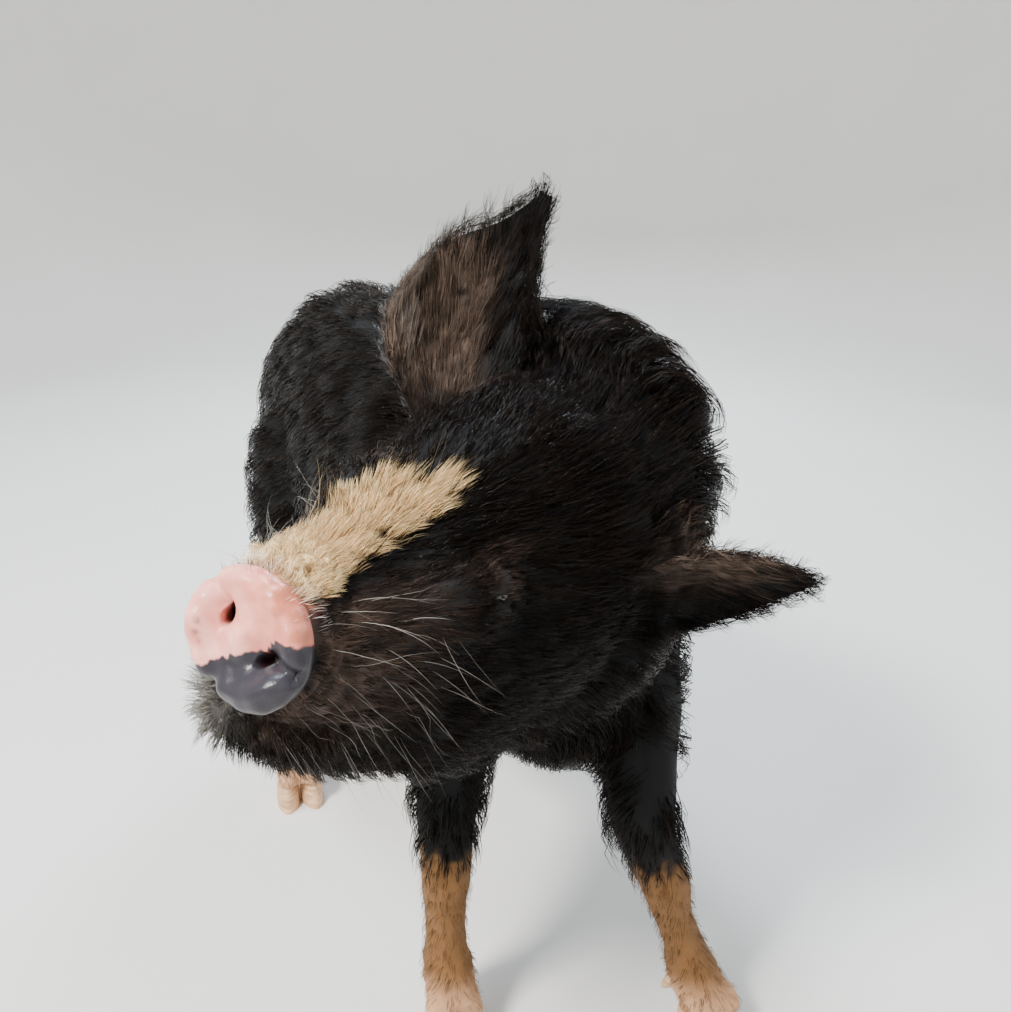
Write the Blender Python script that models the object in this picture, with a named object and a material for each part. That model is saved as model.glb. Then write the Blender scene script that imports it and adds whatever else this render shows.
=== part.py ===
# A young, long-haired pig that stands and turns its head to its right, in metres, +Z up.
# It faces -Y, its own left is +X, and the floor is z = 0.

import math
import random

import bmesh
import bpy
import numpy as np
from mathutils import Matrix, Vector
from mathutils.bvhtree import BVHTree

# Driving sizes
gap = 0.0003
bodyVoxel = 0.0055
bodySmoothing = 10
bodyTriangles = 3800
coarseFactor = 0.0012
seed = 13

# Trunk, from the rump to the base of the neck, along the spine's own curve.
# Each row: x, y, height of the middle, half width, rise above it, drop below it.
trunkRows = [
    (0.345, 1.345, 0.400, 0.050, 0.060, 0.060),
    (0.347, 1.320, 0.398, 0.086, 0.118, 0.118),
    (0.350, 1.255, 0.382, 0.108, 0.166, 0.160),
    (0.352, 1.172, 0.374, 0.113, 0.186, 0.168),
    (0.351, 1.060, 0.370, 0.119, 0.194, 0.166),
    (0.350, 0.960, 0.368, 0.123, 0.195, 0.170),
    (0.355, 0.845, 0.372, 0.115, 0.192, 0.172),
    (0.361, 0.750, 0.380, 0.103, 0.186, 0.166),
    (0.350, 0.672, 0.385, 0.098, 0.170, 0.158),
    (0.334, 0.615, 0.390, 0.088, 0.140, 0.140),
    (0.320, 0.582, 0.395, 0.064, 0.090, 0.100),
]

# The head has its own frame: forward, left and up from the middle of the nose disc.
noseMiddle = Vector((0.070, 0.471, 0.482))
headForward = Vector((-0.880, -0.467, 0.098)).normalized()
headUp = Vector((0.312, -0.409, 0.858))
headUp = (headUp - headUp.dot(headForward) * headForward).normalized()
headLeft = headUp.cross(headForward)
discTilt = math.radians(18)
discHalfWidth = 0.0405
discHalfHeight = 0.035

# Each row: distance behind the disc, height of the middle, half width, rise, drop, jowl.
headRows = [
    (0.010, -0.002, 0.038, 0.032, 0.036, 0.00),
    (0.030, -0.006, 0.040, 0.036, 0.070, 0.02),
    (0.055, -0.008, 0.048, 0.043, 0.108, 0.06),
    (0.090, -0.010, 0.063, 0.058, 0.136, 0.10),
    (0.130, -0.008, 0.079, 0.077, 0.152, 0.12),
    (0.170, -0.004, 0.092, 0.098, 0.156, 0.12),
    (0.210, 0.000, 0.098, 0.110, 0.154, 0.10),
    (0.250, 0.000, 0.097, 0.108, 0.132, 0.06),
    (0.290, -0.004, 0.086, 0.090, 0.115, 0.00),
]

# Rounded masses of the head. Each row: back, left, up, then the three half sizes.
headMasses = [
    (0.165, 0.050, -0.058, 0.080, 0.048, 0.062),
    (0.165, -0.050, -0.058, 0.080, 0.048, 0.062),
    (0.122, 0.042, 0.030, 0.040, 0.028, 0.026),
    (0.122, -0.042, 0.030, 0.040, 0.028, 0.026),
    (0.235, 0.000, 0.050, 0.060, 0.086, 0.062),
    (0.038, 0.000, -0.066, 0.033, 0.031, 0.024),
]

# Neck, from the withers to the back of the head.
neckRows = [
    (0.362, 0.760, 0.400, 0.092, 0.168, 0.150),
    (0.351, 0.700, 0.418, 0.098, 0.170, 0.160),
    (0.335, 0.640, 0.428, 0.101, 0.166, 0.162),
    (0.313, 0.597, 0.432, 0.102, 0.152, 0.152),
    (0.283, 0.568, 0.438, 0.095, 0.124, 0.130),
]

# Legs. Each row: x, y, z, half width across, half depth along.
foreRightRows = [
    (0.300, 0.720, 0.400, 0.040, 0.070),
    (0.285, 0.690, 0.330, 0.042, 0.064),
    (0.262, 0.660, 0.270, 0.036, 0.048),
    (0.243, 0.634, 0.215, 0.027, 0.032),
    (0.237, 0.624, 0.158, 0.023, 0.026),
    (0.237, 0.627, 0.100, 0.019, 0.021),
    (0.238, 0.626, 0.062, 0.021, 0.024),
    (0.238, 0.616, 0.034, 0.022, 0.026),
]
foreLeftRows = [
    (0.425, 0.690, 0.400, 0.040, 0.070),
    (0.408, 0.640, 0.330, 0.042, 0.062),
    (0.388, 0.585, 0.270, 0.036, 0.048),
    (0.378, 0.553, 0.215, 0.027, 0.032),
    (0.394, 0.543, 0.158, 0.023, 0.026),
    (0.412, 0.540, 0.100, 0.019, 0.021),
    (0.424, 0.536, 0.062, 0.021, 0.024),
    (0.431, 0.526, 0.034, 0.022, 0.026),
]
hindRightRows = [
    (0.272, 1.170, 0.400, 0.050, 0.100),
    (0.254, 1.132, 0.330, 0.052, 0.096),
    (0.237, 1.098, 0.265, 0.042, 0.070),
    (0.217, 1.078, 0.210, 0.029, 0.044),
    (0.209, 1.067, 0.165, 0.023, 0.033),
    (0.202, 1.038, 0.110, 0.019, 0.023),
    (0.198, 1.012, 0.062, 0.021, 0.024),
    (0.197, 0.990, 0.034, 0.022, 0.026),
]
hindLeftRows = [
    (0.395, 1.210, 0.400, 0.055, 0.100),
    (0.410, 1.210, 0.330, 0.056, 0.098),
    (0.420, 1.225, 0.265, 0.043, 0.070),
    (0.416, 1.262, 0.210, 0.029, 0.044),
    (0.412, 1.290, 0.165, 0.023, 0.033),
    (0.410, 1.280, 0.110, 0.019, 0.023),
    (0.409, 1.268, 0.062, 0.021, 0.024),
    (0.409, 1.252, 0.034, 0.022, 0.026),
]

# Ears: middle of the base, tip, the way the cup faces, and how far the middle bows off the straight line.
ears = {
    "right": (
        Vector((0.262, 0.600, 0.515)),
        Vector((0.335, 0.650, 0.685)),
        Vector((-0.42, -0.90, 0.12)),
        Vector((-0.028, 0.013, 0.0)),
    ),
    "left": (
        Vector((0.308, 0.503, 0.448)),
        Vector((0.440, 0.462, 0.446)),
        Vector((-0.30, -0.85, -0.42)),
        Vector((0.0, 0.0, -0.007)),
    ),
}
# Half widths at parts of the ear's length. The right ear's far half fans out below a narrow tip.
earSpots = (0.0, 0.2, 0.45, 0.7, 0.85, 0.95, 1.0)
earWidths = (0.20, 0.255, 0.285, 0.215, 0.125, 0.06, 0.02)
fanSpots = (0.0, 0.2, 0.45, 0.6, 0.7, 0.8, 0.84, 0.89, 0.95, 1.0)
fanWidths = (0.20, 0.255, 0.30, 0.277, 0.25, 0.195, 0.14, 0.075, 0.045, 0.02)
rolledWidths = (0.20, 0.255, 0.275, 0.190, 0.100, 0.05, 0.02)
earThickness = 0.0042
earFold = 0.40  # how much of the right ear's near half is rolled in at its base
earStations = 12
earSegments = 14

# Tail: middle line from the rump, hanging.
tailRows = [
    (0.325, 1.325, 0.455, 0.017, 0.017),
    (0.326, 1.352, 0.440, 0.013, 0.013),
    (0.330, 1.366, 0.405, 0.010, 0.010),
    (0.334, 1.366, 0.360, 0.008, 0.008),
    (0.337, 1.360, 0.315, 0.006, 0.006),
]

# Feet: place of each foot's middle on the floor, and the way the toes point.
feet = {
    "front_right": ((0.238, 0.612), -100),
    "front_left": ((0.433, 0.520), -84),
    "hind_right": ((0.197, 0.985), -97),
    "hind_left": ((0.409, 1.246), -90),
}
hoofLength = 0.044
hoofWidth = 0.025
hoofHeight = 0.030
hoofGap = 0.0024
hoofSplay = 0.10
hoofSegments = 9
toeSizes = (0.017, 0.0125, 0.014)
toeHeight = 0.036
toeSide = 0.0135
dewClawHeight = 0.056
dewClawBack = 0.022
dewClawSide = 0.012
dewClawFall = 0.028

# Eyes, in the head's frame.
eyeBack = 0.120
eyeSide = 0.062
eyeUp = 0.046
eyeRadius = 0.0115
lidThickness = 0.0022
eyeSlitLength = 0.0085
eyeSlitHeight = 0.0022
upperLid = 0.0034
lowerLid = 0.0042
bareEyeRing = 0.034

# Mouth and nostrils, in the head's frame.
mouthBack = 0.085
mouthUp = -0.044
mouthRise = 0.020
mouthGroove = 0.0026
nostrilSide = 0.0165
nostrilHalfWidth = 0.0056
nostrilHalfHeight = 0.0078
nostrilDepth = 0.017

# Cuts between each leg and the trunk: the leg's rows, the height, and the half sizes of the space round it.
legCuts = {
    "leg_front_right": (foreRightRows, 0.222, 0.050, 0.060),
    "leg_front_left": (foreLeftRows, 0.222, 0.050, 0.060),
    "leg_hind_right": (hindRightRows, 0.200, 0.050, 0.075),
    "leg_hind_left": (hindLeftRows, 0.200, 0.050, 0.075),
}

# Colour and roughness of each kind of node, by the start of its name.
colours = {
    "snout": ((0.62, 0.33, 0.28), 0.35),
    "hoof": ((0.46, 0.30, 0.24), 0.45),
    "dewclaw": ((0.40, 0.27, 0.22), 0.45),
    "eye": ((0.02, 0.012, 0.008), 0.08),
    "leg": ((0.16, 0.08, 0.05), 0.6),
    "ear": ((0.02, 0.016, 0.015), 0.55),
    "": ((0.015, 0.014, 0.016), 0.5),
}


def headPoint(back, left, up):
    """The place in the model of a point given in the head's frame."""
    return noseMiddle - back * headForward + left * headLeft + up * headUp


def smoothRows(rows, steps):
    """Rows read from a smooth curve through the given ones."""
    table = np.array(rows, float)
    padded = np.vstack([2 * table[0] - table[1], table, 2 * table[-1] - table[-2]])
    found = []
    for index in range(len(table) - 1):
        before, start, end, after = padded[index : index + 4]
        for step in range(steps):
            t = step / steps
            found.append(
                0.5
                * (
                    2 * start
                    + (end - before) * t
                    + (2 * before - 5 * start + 4 * end - after) * t**2
                    + (3 * start - before - 3 * end + after) * t**3
                )
            )
    found.append(table[-1])
    return np.array(found).tolist()


def meshObject(name, bm):
    mesh = bpy.data.meshes.new(name)
    bm.to_mesh(mesh)
    bm.free()
    piece = bpy.data.objects.new(name, mesh)
    bpy.context.collection.objects.link(piece)
    return piece


def loft(name, rings, segments=28):
    """A closed skin through rings.

    Each ring is a middle, an up way, a forward way, half width, rise, drop and jowl.
    """
    bm = bmesh.new()
    loops = []
    for index, (middle, up, forward, halfWidth, rise, drop, jowl) in enumerate(rings):
        side = up.cross(forward).normalized()
        upright = forward.cross(side).normalized()
        atEnd = index in (0, len(rings) - 1)
        made = bmesh.ops.create_circle(bm, cap_ends=atEnd, segments=segments, radius=1.0)
        for vert in made["verts"]:
            across = vert.co.x
            high = vert.co.y
            tall = rise if high > 0 else drop
            wide = halfWidth * (1 - jowl * high)
            vert.co = middle + side * across * wide + upright * high * tall
        loops.append(list({edge for vert in made["verts"] for edge in vert.link_edges}))
    for first, second in zip(loops, loops[1:]):
        bmesh.ops.bridge_loops(bm, edges=first + second)
    bmesh.ops.recalc_face_normals(bm, faces=bm.faces)
    bmesh.ops.triangulate(bm, faces=bm.faces)
    return meshObject(name, bm)


def waysAlong(middles):
    """The forward way at each of a row of middles."""
    ways = []
    for index in range(len(middles)):
        start = middles[max(index - 1, 0)]
        end = middles[min(index + 1, len(middles) - 1)]
        ways.append((end - start).normalized())
    return ways


def trunkLoft(name, rows, steps=4, upWays=None):
    """A body part whose rings stand across a middle line, in world places."""
    table = smoothRows(rows, steps)
    middles = [Vector(row[:3]) for row in table]
    ways = waysAlong(middles)
    rings = []
    for index, row in enumerate(table):
        share = index / (len(table) - 1)
        up = Vector((0, 0, 1)) if upWays is None else upWays[0].lerp(upWays[1], share)
        rings.append((middles[index], up, ways[index], row[3], row[4], row[5], 0.0))
    return loft(name, rings, 36)


def headLoft(name):
    table = smoothRows(headRows, 3)
    rings = []
    for back, height, halfWidth, rise, drop, jowl in table:
        middle = headPoint(back, 0, height)
        rings.append((middle, headUp, headForward, halfWidth, rise, drop, jowl))
    return loft(name, rings, 36)


def limbLoft(name, rows, acrossWay, segments=20):
    """A leg or a tail: an oval pipe along its rows, wide along acrossWay."""
    table = smoothRows(rows, 3)
    middles = [Vector(row[:3]) for row in table]
    ways = waysAlong(middles)
    rings = []
    for middle, way, row in zip(middles, ways, table):
        up = way.cross(acrossWay).normalized()
        rings.append((middle, up, way, row[3], row[4], row[4], 0.0))
    return loft(name, rings, segments)


def ball(name, middle, sizes, turn=None, fineness=3):
    bm = bmesh.new()
    place = Matrix.Translation(middle) @ (turn or Matrix.Identity(4)) @ Matrix.Diagonal((*sizes, 1))
    bmesh.ops.create_icosphere(bm, subdivisions=fineness, radius=1.0, matrix=place)
    return meshObject(name, bm)


def headTurn():
    """The head's frame as a rotation."""
    return Matrix((headForward, headLeft, headUp)).transposed().to_4x4()


def noseDisc():
    """The flat, round end of the snout, tipped up, a little wider than the muzzle behind it."""
    tilt = Matrix.Rotation(-discTilt, 4, headLeft)
    forward = tilt @ headForward
    up = tilt @ headUp
    rings = []
    for back, scale in ((0.030, 0.86), (0.016, 0.93), (0.011, 0.99), (0.003, 1.0), (0.0, 0.95)):
        middle = noseMiddle - back * forward
        tall = discHalfHeight * scale
        rings.append((middle, up, forward, discHalfWidth * scale, tall, tall, 0.0))
    return loft("nose", rings, 32)


def joinAll(pieces, name):
    bpy.ops.object.select_all(action="DESELECT")
    for piece in pieces:
        piece.select_set(True)
    bpy.context.view_layer.objects.active = pieces[0]
    bpy.ops.object.join()
    joined = bpy.context.view_layer.objects.active
    joined.name = name
    joined.data.name = name
    return joined


def applyModifier(piece, kind, **values):
    modifier = piece.modifiers.new(kind.title(), kind)
    for key, value in values.items():
        setattr(modifier, key, value)
    bpy.context.view_layer.objects.active = piece
    bpy.ops.object.modifier_apply(modifier=modifier.name)


def footFrame(foot):
    """The middle of a foot on the floor, the way it points, and its left."""
    middle, heading = feet[foot]
    way = Vector((math.cos(math.radians(heading)), math.sin(math.radians(heading)), 0))
    return middle, way, Vector((-way.y, way.x, 0))


def toeBalls(name):
    """The flesh above the two hooves of one foot."""
    (x, y), way, left = footFrame(name)
    turn = Matrix.Rotation(math.radians(feet[name][1]), 4, "Z")
    made = []
    for sign in (1, -1):
        middle = Vector((x, y, toeHeight)) + way * 0.004 + left * sign * toeSide
        made.append(ball(name + "_toe", middle, toeSizes, turn))
    return made


def bodyShape(voxel, smoothing):
    """All the flesh as one closed, smooth skin."""
    pieces = [
        trunkLoft("trunk", trunkRows),
        trunkLoft("neck", neckRows, 4, (Vector((0, 0, 1)), headUp)),
        headLoft("head"),
        noseDisc(),
    ]
    for back, left, up, *sizes in headMasses:
        pieces.append(ball("mass", headPoint(back, left, up), sizes, headTurn()))
    across = Vector((1, 0.15, 0))
    for name, rows in (
        ("foreRight", foreRightRows),
        ("foreLeft", foreLeftRows),
        ("hindRight", hindRightRows),
        ("hindLeft", hindLeftRows),
    ):
        pieces.append(limbLoft(name, rows, across))
    for name in feet:
        pieces.extend(toeBalls(name))
    body = joinAll(pieces, "body")
    applyModifier(body, "REMESH", mode="VOXEL", voxel_size=voxel, adaptivity=0.0)
    applyModifier(body, "SMOOTH", factor=0.5, iterations=smoothing)
    return body


def removeAll(pieces):
    for piece in pieces:
        bpy.data.objects.remove(piece, do_unlink=True)


def boolean(piece, others, operation):
    """The other closed pieces joined to this one, cut from it, or kept in common with it."""
    group = bpy.data.collections.new("others")
    bpy.context.scene.collection.children.link(group)
    for other in others:
        group.objects.link(other)
    applyModifier(
        piece,
        "BOOLEAN",
        operation=operation,
        operand_type="COLLECTION",
        collection=group,
        solver="MANIFOLD",
    )
    removeAll(others)
    bpy.data.collections.remove(group)


def copyOf(piece, name):
    twin = bpy.data.objects.new(name, piece.data.copy())
    bpy.context.collection.objects.link(twin)
    return twin


def grown(piece, distance):
    """A copy whose surface stands this much further out, for cutting a close fit."""
    twin = copyOf(piece, "grown")
    bm = bmesh.new()
    bm.from_mesh(twin.data)
    bm.normal_update()
    moved = [(vert, vert.normal * distance * min(vert.calc_shell_factor(), 2.0)) for vert in bm.verts]
    for vert, shift in moved:
        vert.co += shift
    bm.to_mesh(twin.data)
    bm.free()
    return twin


def keepLargest(piece):
    """Only the largest closed surface of the piece."""
    bm = bmesh.new()
    bm.from_mesh(piece.data)
    unseen = set(bm.faces)
    groups = []
    while unseen:
        stack = [unseen.pop()]
        group = []
        while stack:
            face = stack.pop()
            group.append(face)
            for edge in face.edges:
                for other in edge.link_faces:
                    if other in unseen:
                        unseen.remove(other)
                        stack.append(other)
        groups.append(group)
    groups.sort(key=lambda group: sum(face.calc_area() for face in group))
    loose = [face for group in groups[:-1] for face in group]
    bmesh.ops.delete(bm, geom=loose, context="FACES")
    bmesh.ops.triangulate(bm, faces=bm.faces)
    bm.to_mesh(piece.data)
    bm.free()
    return piece


def halfSpace(point, normal, offset):
    """A large block whose face lies on this plane, moved by the offset along its normal."""
    bm = bmesh.new()
    size = 4.0
    turn = normal.to_track_quat("Z", "Y").to_matrix().to_4x4()
    place = Matrix.Translation(point + normal * offset) @ turn @ Matrix.Translation((0, 0, size / 2))
    bmesh.ops.create_cube(bm, size=size, matrix=place)
    return meshObject("block", bm)


def splitOff(body, name, point, normal):
    """The part of the body beyond the plane, as its own piece, a thin cut away from the rest."""
    part = copyOf(body, name)
    boolean(part, [halfSpace(point, normal, gap / 2)], "INTERSECT")
    boolean(body, [halfSpace(point, normal, -gap / 2)], "DIFFERENCE")
    return part


def legZone(rows, top, halfAcross, halfAlong, offset):
    """The space round one leg, from its cut height to just under the floor."""
    table = smoothRows(rows, 3)
    nearest = min(table, key=lambda row: abs(row[2] - top))
    foot = table[-1]
    up = Vector((0, -1, 0))
    forward = Vector((0, 0, 1))
    rings = []
    for (x, y, z), grow in (
        ((foot[0], foot[1] - 0.01, -0.01), 1.5),
        ((foot[0], foot[1], 0.08), 1.4),
        ((nearest[0], nearest[1], top + offset), 1.0),
    ):
        deep = halfAlong * grow
        rings.append((Vector((x, y, z)), up, forward, halfAcross * grow, deep, deep, 0.0))
    return loft("zone", rings, 20)


def hoof(name, foot, sign):
    """One half of a cloven hoof: flat sole, sloping wall, rounded toe."""
    (x, y), way, left = footFrame(foot)
    up = Vector((0, 0, 1))
    toeWay = (way + left * sign * hoofSplay).normalized()
    rings = []
    for height, length, width, setBack in (
        (0.0, 0.50, 0.50, 0.0),
        (0.35, 0.48, 0.50, 0.02),
        (0.75, 0.42, 0.46, 0.08),
        (1.0, 0.36, 0.38, 0.13),
    ):
        middle = Vector((x, y, hoofHeight * height)) + left * sign * (hoofWidth + hoofGap) / 2
        middle -= toeWay * hoofLength * setBack
        rise = hoofLength * length
        rings.append((middle, toeWay, up, hoofWidth * width, rise, rise * 0.8, 0.22))
    return loft(name, rings, hoofSegments)


def dewClaw(name, foot, sign):
    """A small horn claw behind the foot, clear of the floor."""
    (x, y), way, left = footFrame(foot)
    root = Vector((x, y, dewClawHeight)) - way * dewClawBack + left * sign * dewClawSide
    tip = root - way * 0.016 + left * sign * 0.006 - Vector((0, 0, dewClawFall))
    along = (tip - root).normalized()
    rings = []
    for t, radius in ((0.0, 0.0075), (0.35, 0.0080), (0.75, 0.0060), (1.0, 0.0030)):
        rings.append((root.lerp(tip, t), way, along, radius, radius * 0.8, radius * 0.8, 0.0))
    return loft(name, rings, 7)


def ear(name, base, tip, facing, bow, rolled):
    """A pointed, cupped ear: each ring is a crescent, open to the way it faces."""
    along = (tip - base).normalized()
    length = (tip - base).length
    front = (facing - facing.dot(along) * along).normalized()
    side = along.cross(front).normalized()
    bm = bmesh.new()
    loops = []
    for index in range(earStations):
        t = index / (earStations - 1)
        near = length * float(np.interp(t, earSpots, rolledWidths if rolled else earWidths))
        far = length * float(np.interp(t, fanSpots, fanWidths)) if rolled else near
        cup = near * (0.55 - 0.30 * t)
        thick = earThickness * (1 - 0.55 * t)
        sweep = length * 0.10 * math.sin(math.pi * t)
        middle = base + along * length * t - front * sweep + bow * math.sin(math.pi * t)
        atEnd = index in (0, earStations - 1)
        made = bmesh.ops.create_circle(bm, cap_ends=atEnd, segments=earSegments, radius=1.0)
        for vert in made["verts"]:
            across = vert.co.x
            if across > 0 and rolled:
                across *= 1 - earFold * (1 - t)
            depth = cup * (across**2 - 0.4) + vert.co.y * thick
            vert.co = middle + side * across * (near if across > 0 else far) + front * depth
        loops.append(list({edge for vert in made["verts"] for edge in vert.link_edges}))
    for first, second in zip(loops, loops[1:]):
        bmesh.ops.bridge_loops(bm, edges=first + second)
    bmesh.ops.recalc_face_normals(bm, faces=bm.faces)
    bmesh.ops.triangulate(bm, faces=bm.faces)
    return meshObject(name, bm)


def pipe(name, middles, radii, segments=8):
    """A closed round pipe through these places."""
    ways = waysAlong(middles)
    up = Vector((0.13, 0.21, 0.97))
    rings = []
    for middle, way, radius in zip(middles, ways, radii):
        rings.append((middle, up, way, radius, radius, radius, 0.0))
    return loft(name, rings, segments)


def surfacePoint(tree, start, way):
    """Where a line from start, sent this way, first meets the skin."""
    place = tree.ray_cast(start, way)[0]
    return place if place is not None else start


def mouthLine(tree):
    """A groove from one corner of the mouth, round the chin under the nose disc, to the other."""
    middles = []
    radii = []
    steps = 16
    for index in range(steps + 1):
        turn = math.pi * index / steps
        side = math.cos(turn)
        back = mouthBack * abs(side) ** 0.8 + 0.018
        up = mouthUp + mouthRise * abs(side) ** 2
        aim = headPoint(back + 0.02, 0, up)
        way = (headPoint(back, side * 0.1, up) - headPoint(back, 0, up))
        way += headForward * 0.1 * (1 - abs(side)) ** 0.6
        way.normalize()
        start = aim + way * 0.2
        middles.append(surfacePoint(tree, start, -way))
        radii.append(mouthGroove if 0 < index < steps else mouthGroove / 2)
    return pipe("mouth", middles, radii, 5)


def nostrils():
    """Two oval hollows that run back and a little outwards into the nose disc."""
    tilt = Matrix.Rotation(-discTilt, 4, headLeft)
    forward = tilt @ headForward
    up = tilt @ headUp
    made = []
    for sign in (1, -1):
        outer = noseMiddle + headLeft * sign * nostrilSide + up * 0.001
        inner = outer - forward * nostrilDepth + headLeft * sign * 0.004
        way = (outer - inner).normalized()
        rings = []
        for t, scale in ((0.0, 0.35), (0.3, 0.7), (0.7, 0.9), (1.0, 1.05), (1.4, 1.15)):
            tall = nostrilHalfHeight * scale
            rings.append((inner.lerp(outer, t), up, way, nostrilHalfWidth * scale, tall, tall, 0.0))
        made.append(loft("nostril", rings, 12))
    return made


def eyeMiddle(tree, sign):
    """The middle of an eyeball, a little way under the skin."""
    outward = (headLeft * sign + headForward * 0.42 + headUp * 0.22).normalized()
    skin = surfacePoint(tree, headPoint(eyeBack, sign * eyeSide, eyeUp) + outward * 0.05, -outward)
    return skin - outward * (eyeRadius + lidThickness), outward, skin


def eyeOpening(middle, outward, sign):
    """The slit between the lids, from the eyeball out through the skin."""
    along = (headForward - headForward.dot(outward) * outward).normalized()
    up = outward.cross(along) * -sign
    rings = []
    for distance, scale in ((0.3, 0.9), (1.0, 1.0), (2.2, 1.15)):
        rings.append((middle + outward * eyeRadius * distance, up, outward, eyeSlitLength * scale,
                      eyeSlitHeight * scale, eyeSlitHeight * scale, 0.0))
    return loft("slit", rings, 14)


def lids(tree, middle, outward, sign):
    """An upper and a lower lid, as two curved folds round the slit."""
    along = (headForward - headForward.dot(outward) * outward).normalized()
    up = outward.cross(along) * -sign
    made = []
    for high, radius in ((1, upperLid), (-1, lowerLid)):
        middles = []
        radii = []
        for index in range(7):
            turn = math.pi * (0.06 + 0.88 * index / 6)
            spot = middle + along * math.cos(turn) * eyeSlitLength * 1.2
            spot += up * high * (math.sin(turn) * (eyeSlitHeight + 0.0030) + 0.0004)
            place = surfacePoint(tree, spot + outward * 0.05, -outward)
            middles.append(place)
            radii.append(radius * (0.45 + 0.55 * math.sin(turn)))
        made.append(pipe("lid", middles, radii, 6))
    return made


def material(name, colour, roughness):
    made = bpy.data.materials.new(name)
    made.use_nodes = True
    shader = made.node_tree.nodes["Principled BSDF"]
    shader.inputs["Base Color"].default_value = (*colour, 1)
    shader.inputs["Roughness"].default_value = roughness
    shader.inputs["Metallic"].default_value = 0.0
    return made


def treeOf(piece):
    """A search tree of the piece's surface."""
    bm = bmesh.new()
    bm.from_mesh(piece.data)
    tree = BVHTree.FromBMesh(bm)
    bm.free()
    return tree


def fineness(place):
    """How freely the skin may be made coarser here: 1 on the body, little on the face."""
    offset = place - noseMiddle
    back = -offset.dot(headForward)
    if back < 0.05:
        return 0.12
    return 0.25 + 0.75 * min(max((back - 0.10) / 0.18, 0.0), 1.0)


def coarsened(body, triangles):
    """The body with about this many triangles, finer at the face."""
    group = body.vertex_groups.new(name="coarse")
    for vert in body.data.vertices:
        group.add([vert.index], fineness(vert.co), "REPLACE")
    faces = sum(len(polygon.vertices) - 2 for polygon in body.data.polygons)
    applyModifier(
        body,
        "DECIMATE",
        decimate_type="COLLAPSE",
        ratio=triangles / faces,
        vertex_group="coarse",
        vertex_group_factor=coarseFactor,
    )
    body.vertex_groups.clear()
    return body


def dividedBody(body):
    """The flesh parted with thin cuts into its named nodes."""
    parts = {}
    for name, (rows, top, halfAcross, halfAlong) in legCuts.items():
        leg = copyOf(body, name)
        boolean(leg, [legZone(rows, top, halfAcross, halfAlong, -gap / 2)], "INTERSECT")
        boolean(body, [legZone(rows, top, halfAcross, halfAlong, gap / 2)], "DIFFERENCE")
        parts[name] = leg
    headNormal = (headForward * 0.963 + headUp * 0.27).normalized()
    head = splitOff(body, "head", headPoint(0.262, 0, 0.02), headNormal)
    tilt = Matrix.Rotation(-discTilt, 4, headLeft)
    parts["snout"] = splitOff(head, "snout", noseMiddle - (tilt @ headForward) * 0.017, tilt @ headForward)
    parts["head"] = head
    neckNormal = Vector((-0.242, -0.769, 0.591)).normalized()
    parts["neck"] = splitOff(body, "neck", Vector((0.345, 0.650, 0.430)), neckNormal)
    body.name = "torso"
    parts["torso"] = body
    for part in parts.values():
        keepLargest(part)
    return parts


def inHead(place):
    """How far a place is behind the nose disc, to the left and up, in the head's frame."""
    offset = place - noseMiddle
    return -offset.dot(headForward), offset.dot(headLeft), offset.dot(headUp)


def onBlaze(place, normal):
    back, left, up = inHead(place)
    return 0.045 < back < 0.150 and abs(left) < 0.026 and normal.dot(headUp) > 0.5


def onPoll(place, normal):
    back, left, up = inHead(place)
    return back > 0.160 and up > 0.045 and normal.dot(headUp) > 0.3


def onCheek(place, normal):
    back, left, up = inHead(place)
    nearEye = (Vector((back, abs(left), up)) - Vector((eyeBack, eyeSide, eyeUp))).length < bareEyeRing
    return back > 0.075 and -0.09 < up < 0.06 and abs(normal.dot(headLeft)) > 0.4 and not nearEye


def underJaw(place, normal):
    back, left, up = inHead(place)
    return back > 0.015 and up < -0.045 and normal.dot(headUp) < -0.30


def onCrest(place, normal):
    return normal.z > 0.45


def onNeckSide(place, normal):
    return normal.z <= 0.45


def onWithers(place, normal):
    return place.y < 0.86 and normal.z > 0.45


def onBack(place, normal):
    return place.y >= 0.86 and normal.z > 0.5


def onFlank(place, normal):
    return -0.45 < normal.z <= 0.5 and place.y < 1.30 and place.z > 0.30


def onBelly(place, normal):
    return normal.z <= -0.35 and place.z < 0.30 and 0.72 < place.y < 1.08


def onRump(place, normal):
    return place.y >= 1.30 and normal.z <= 0.5


def onTailEnd(place, normal):
    return place.z < 0.375


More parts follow.
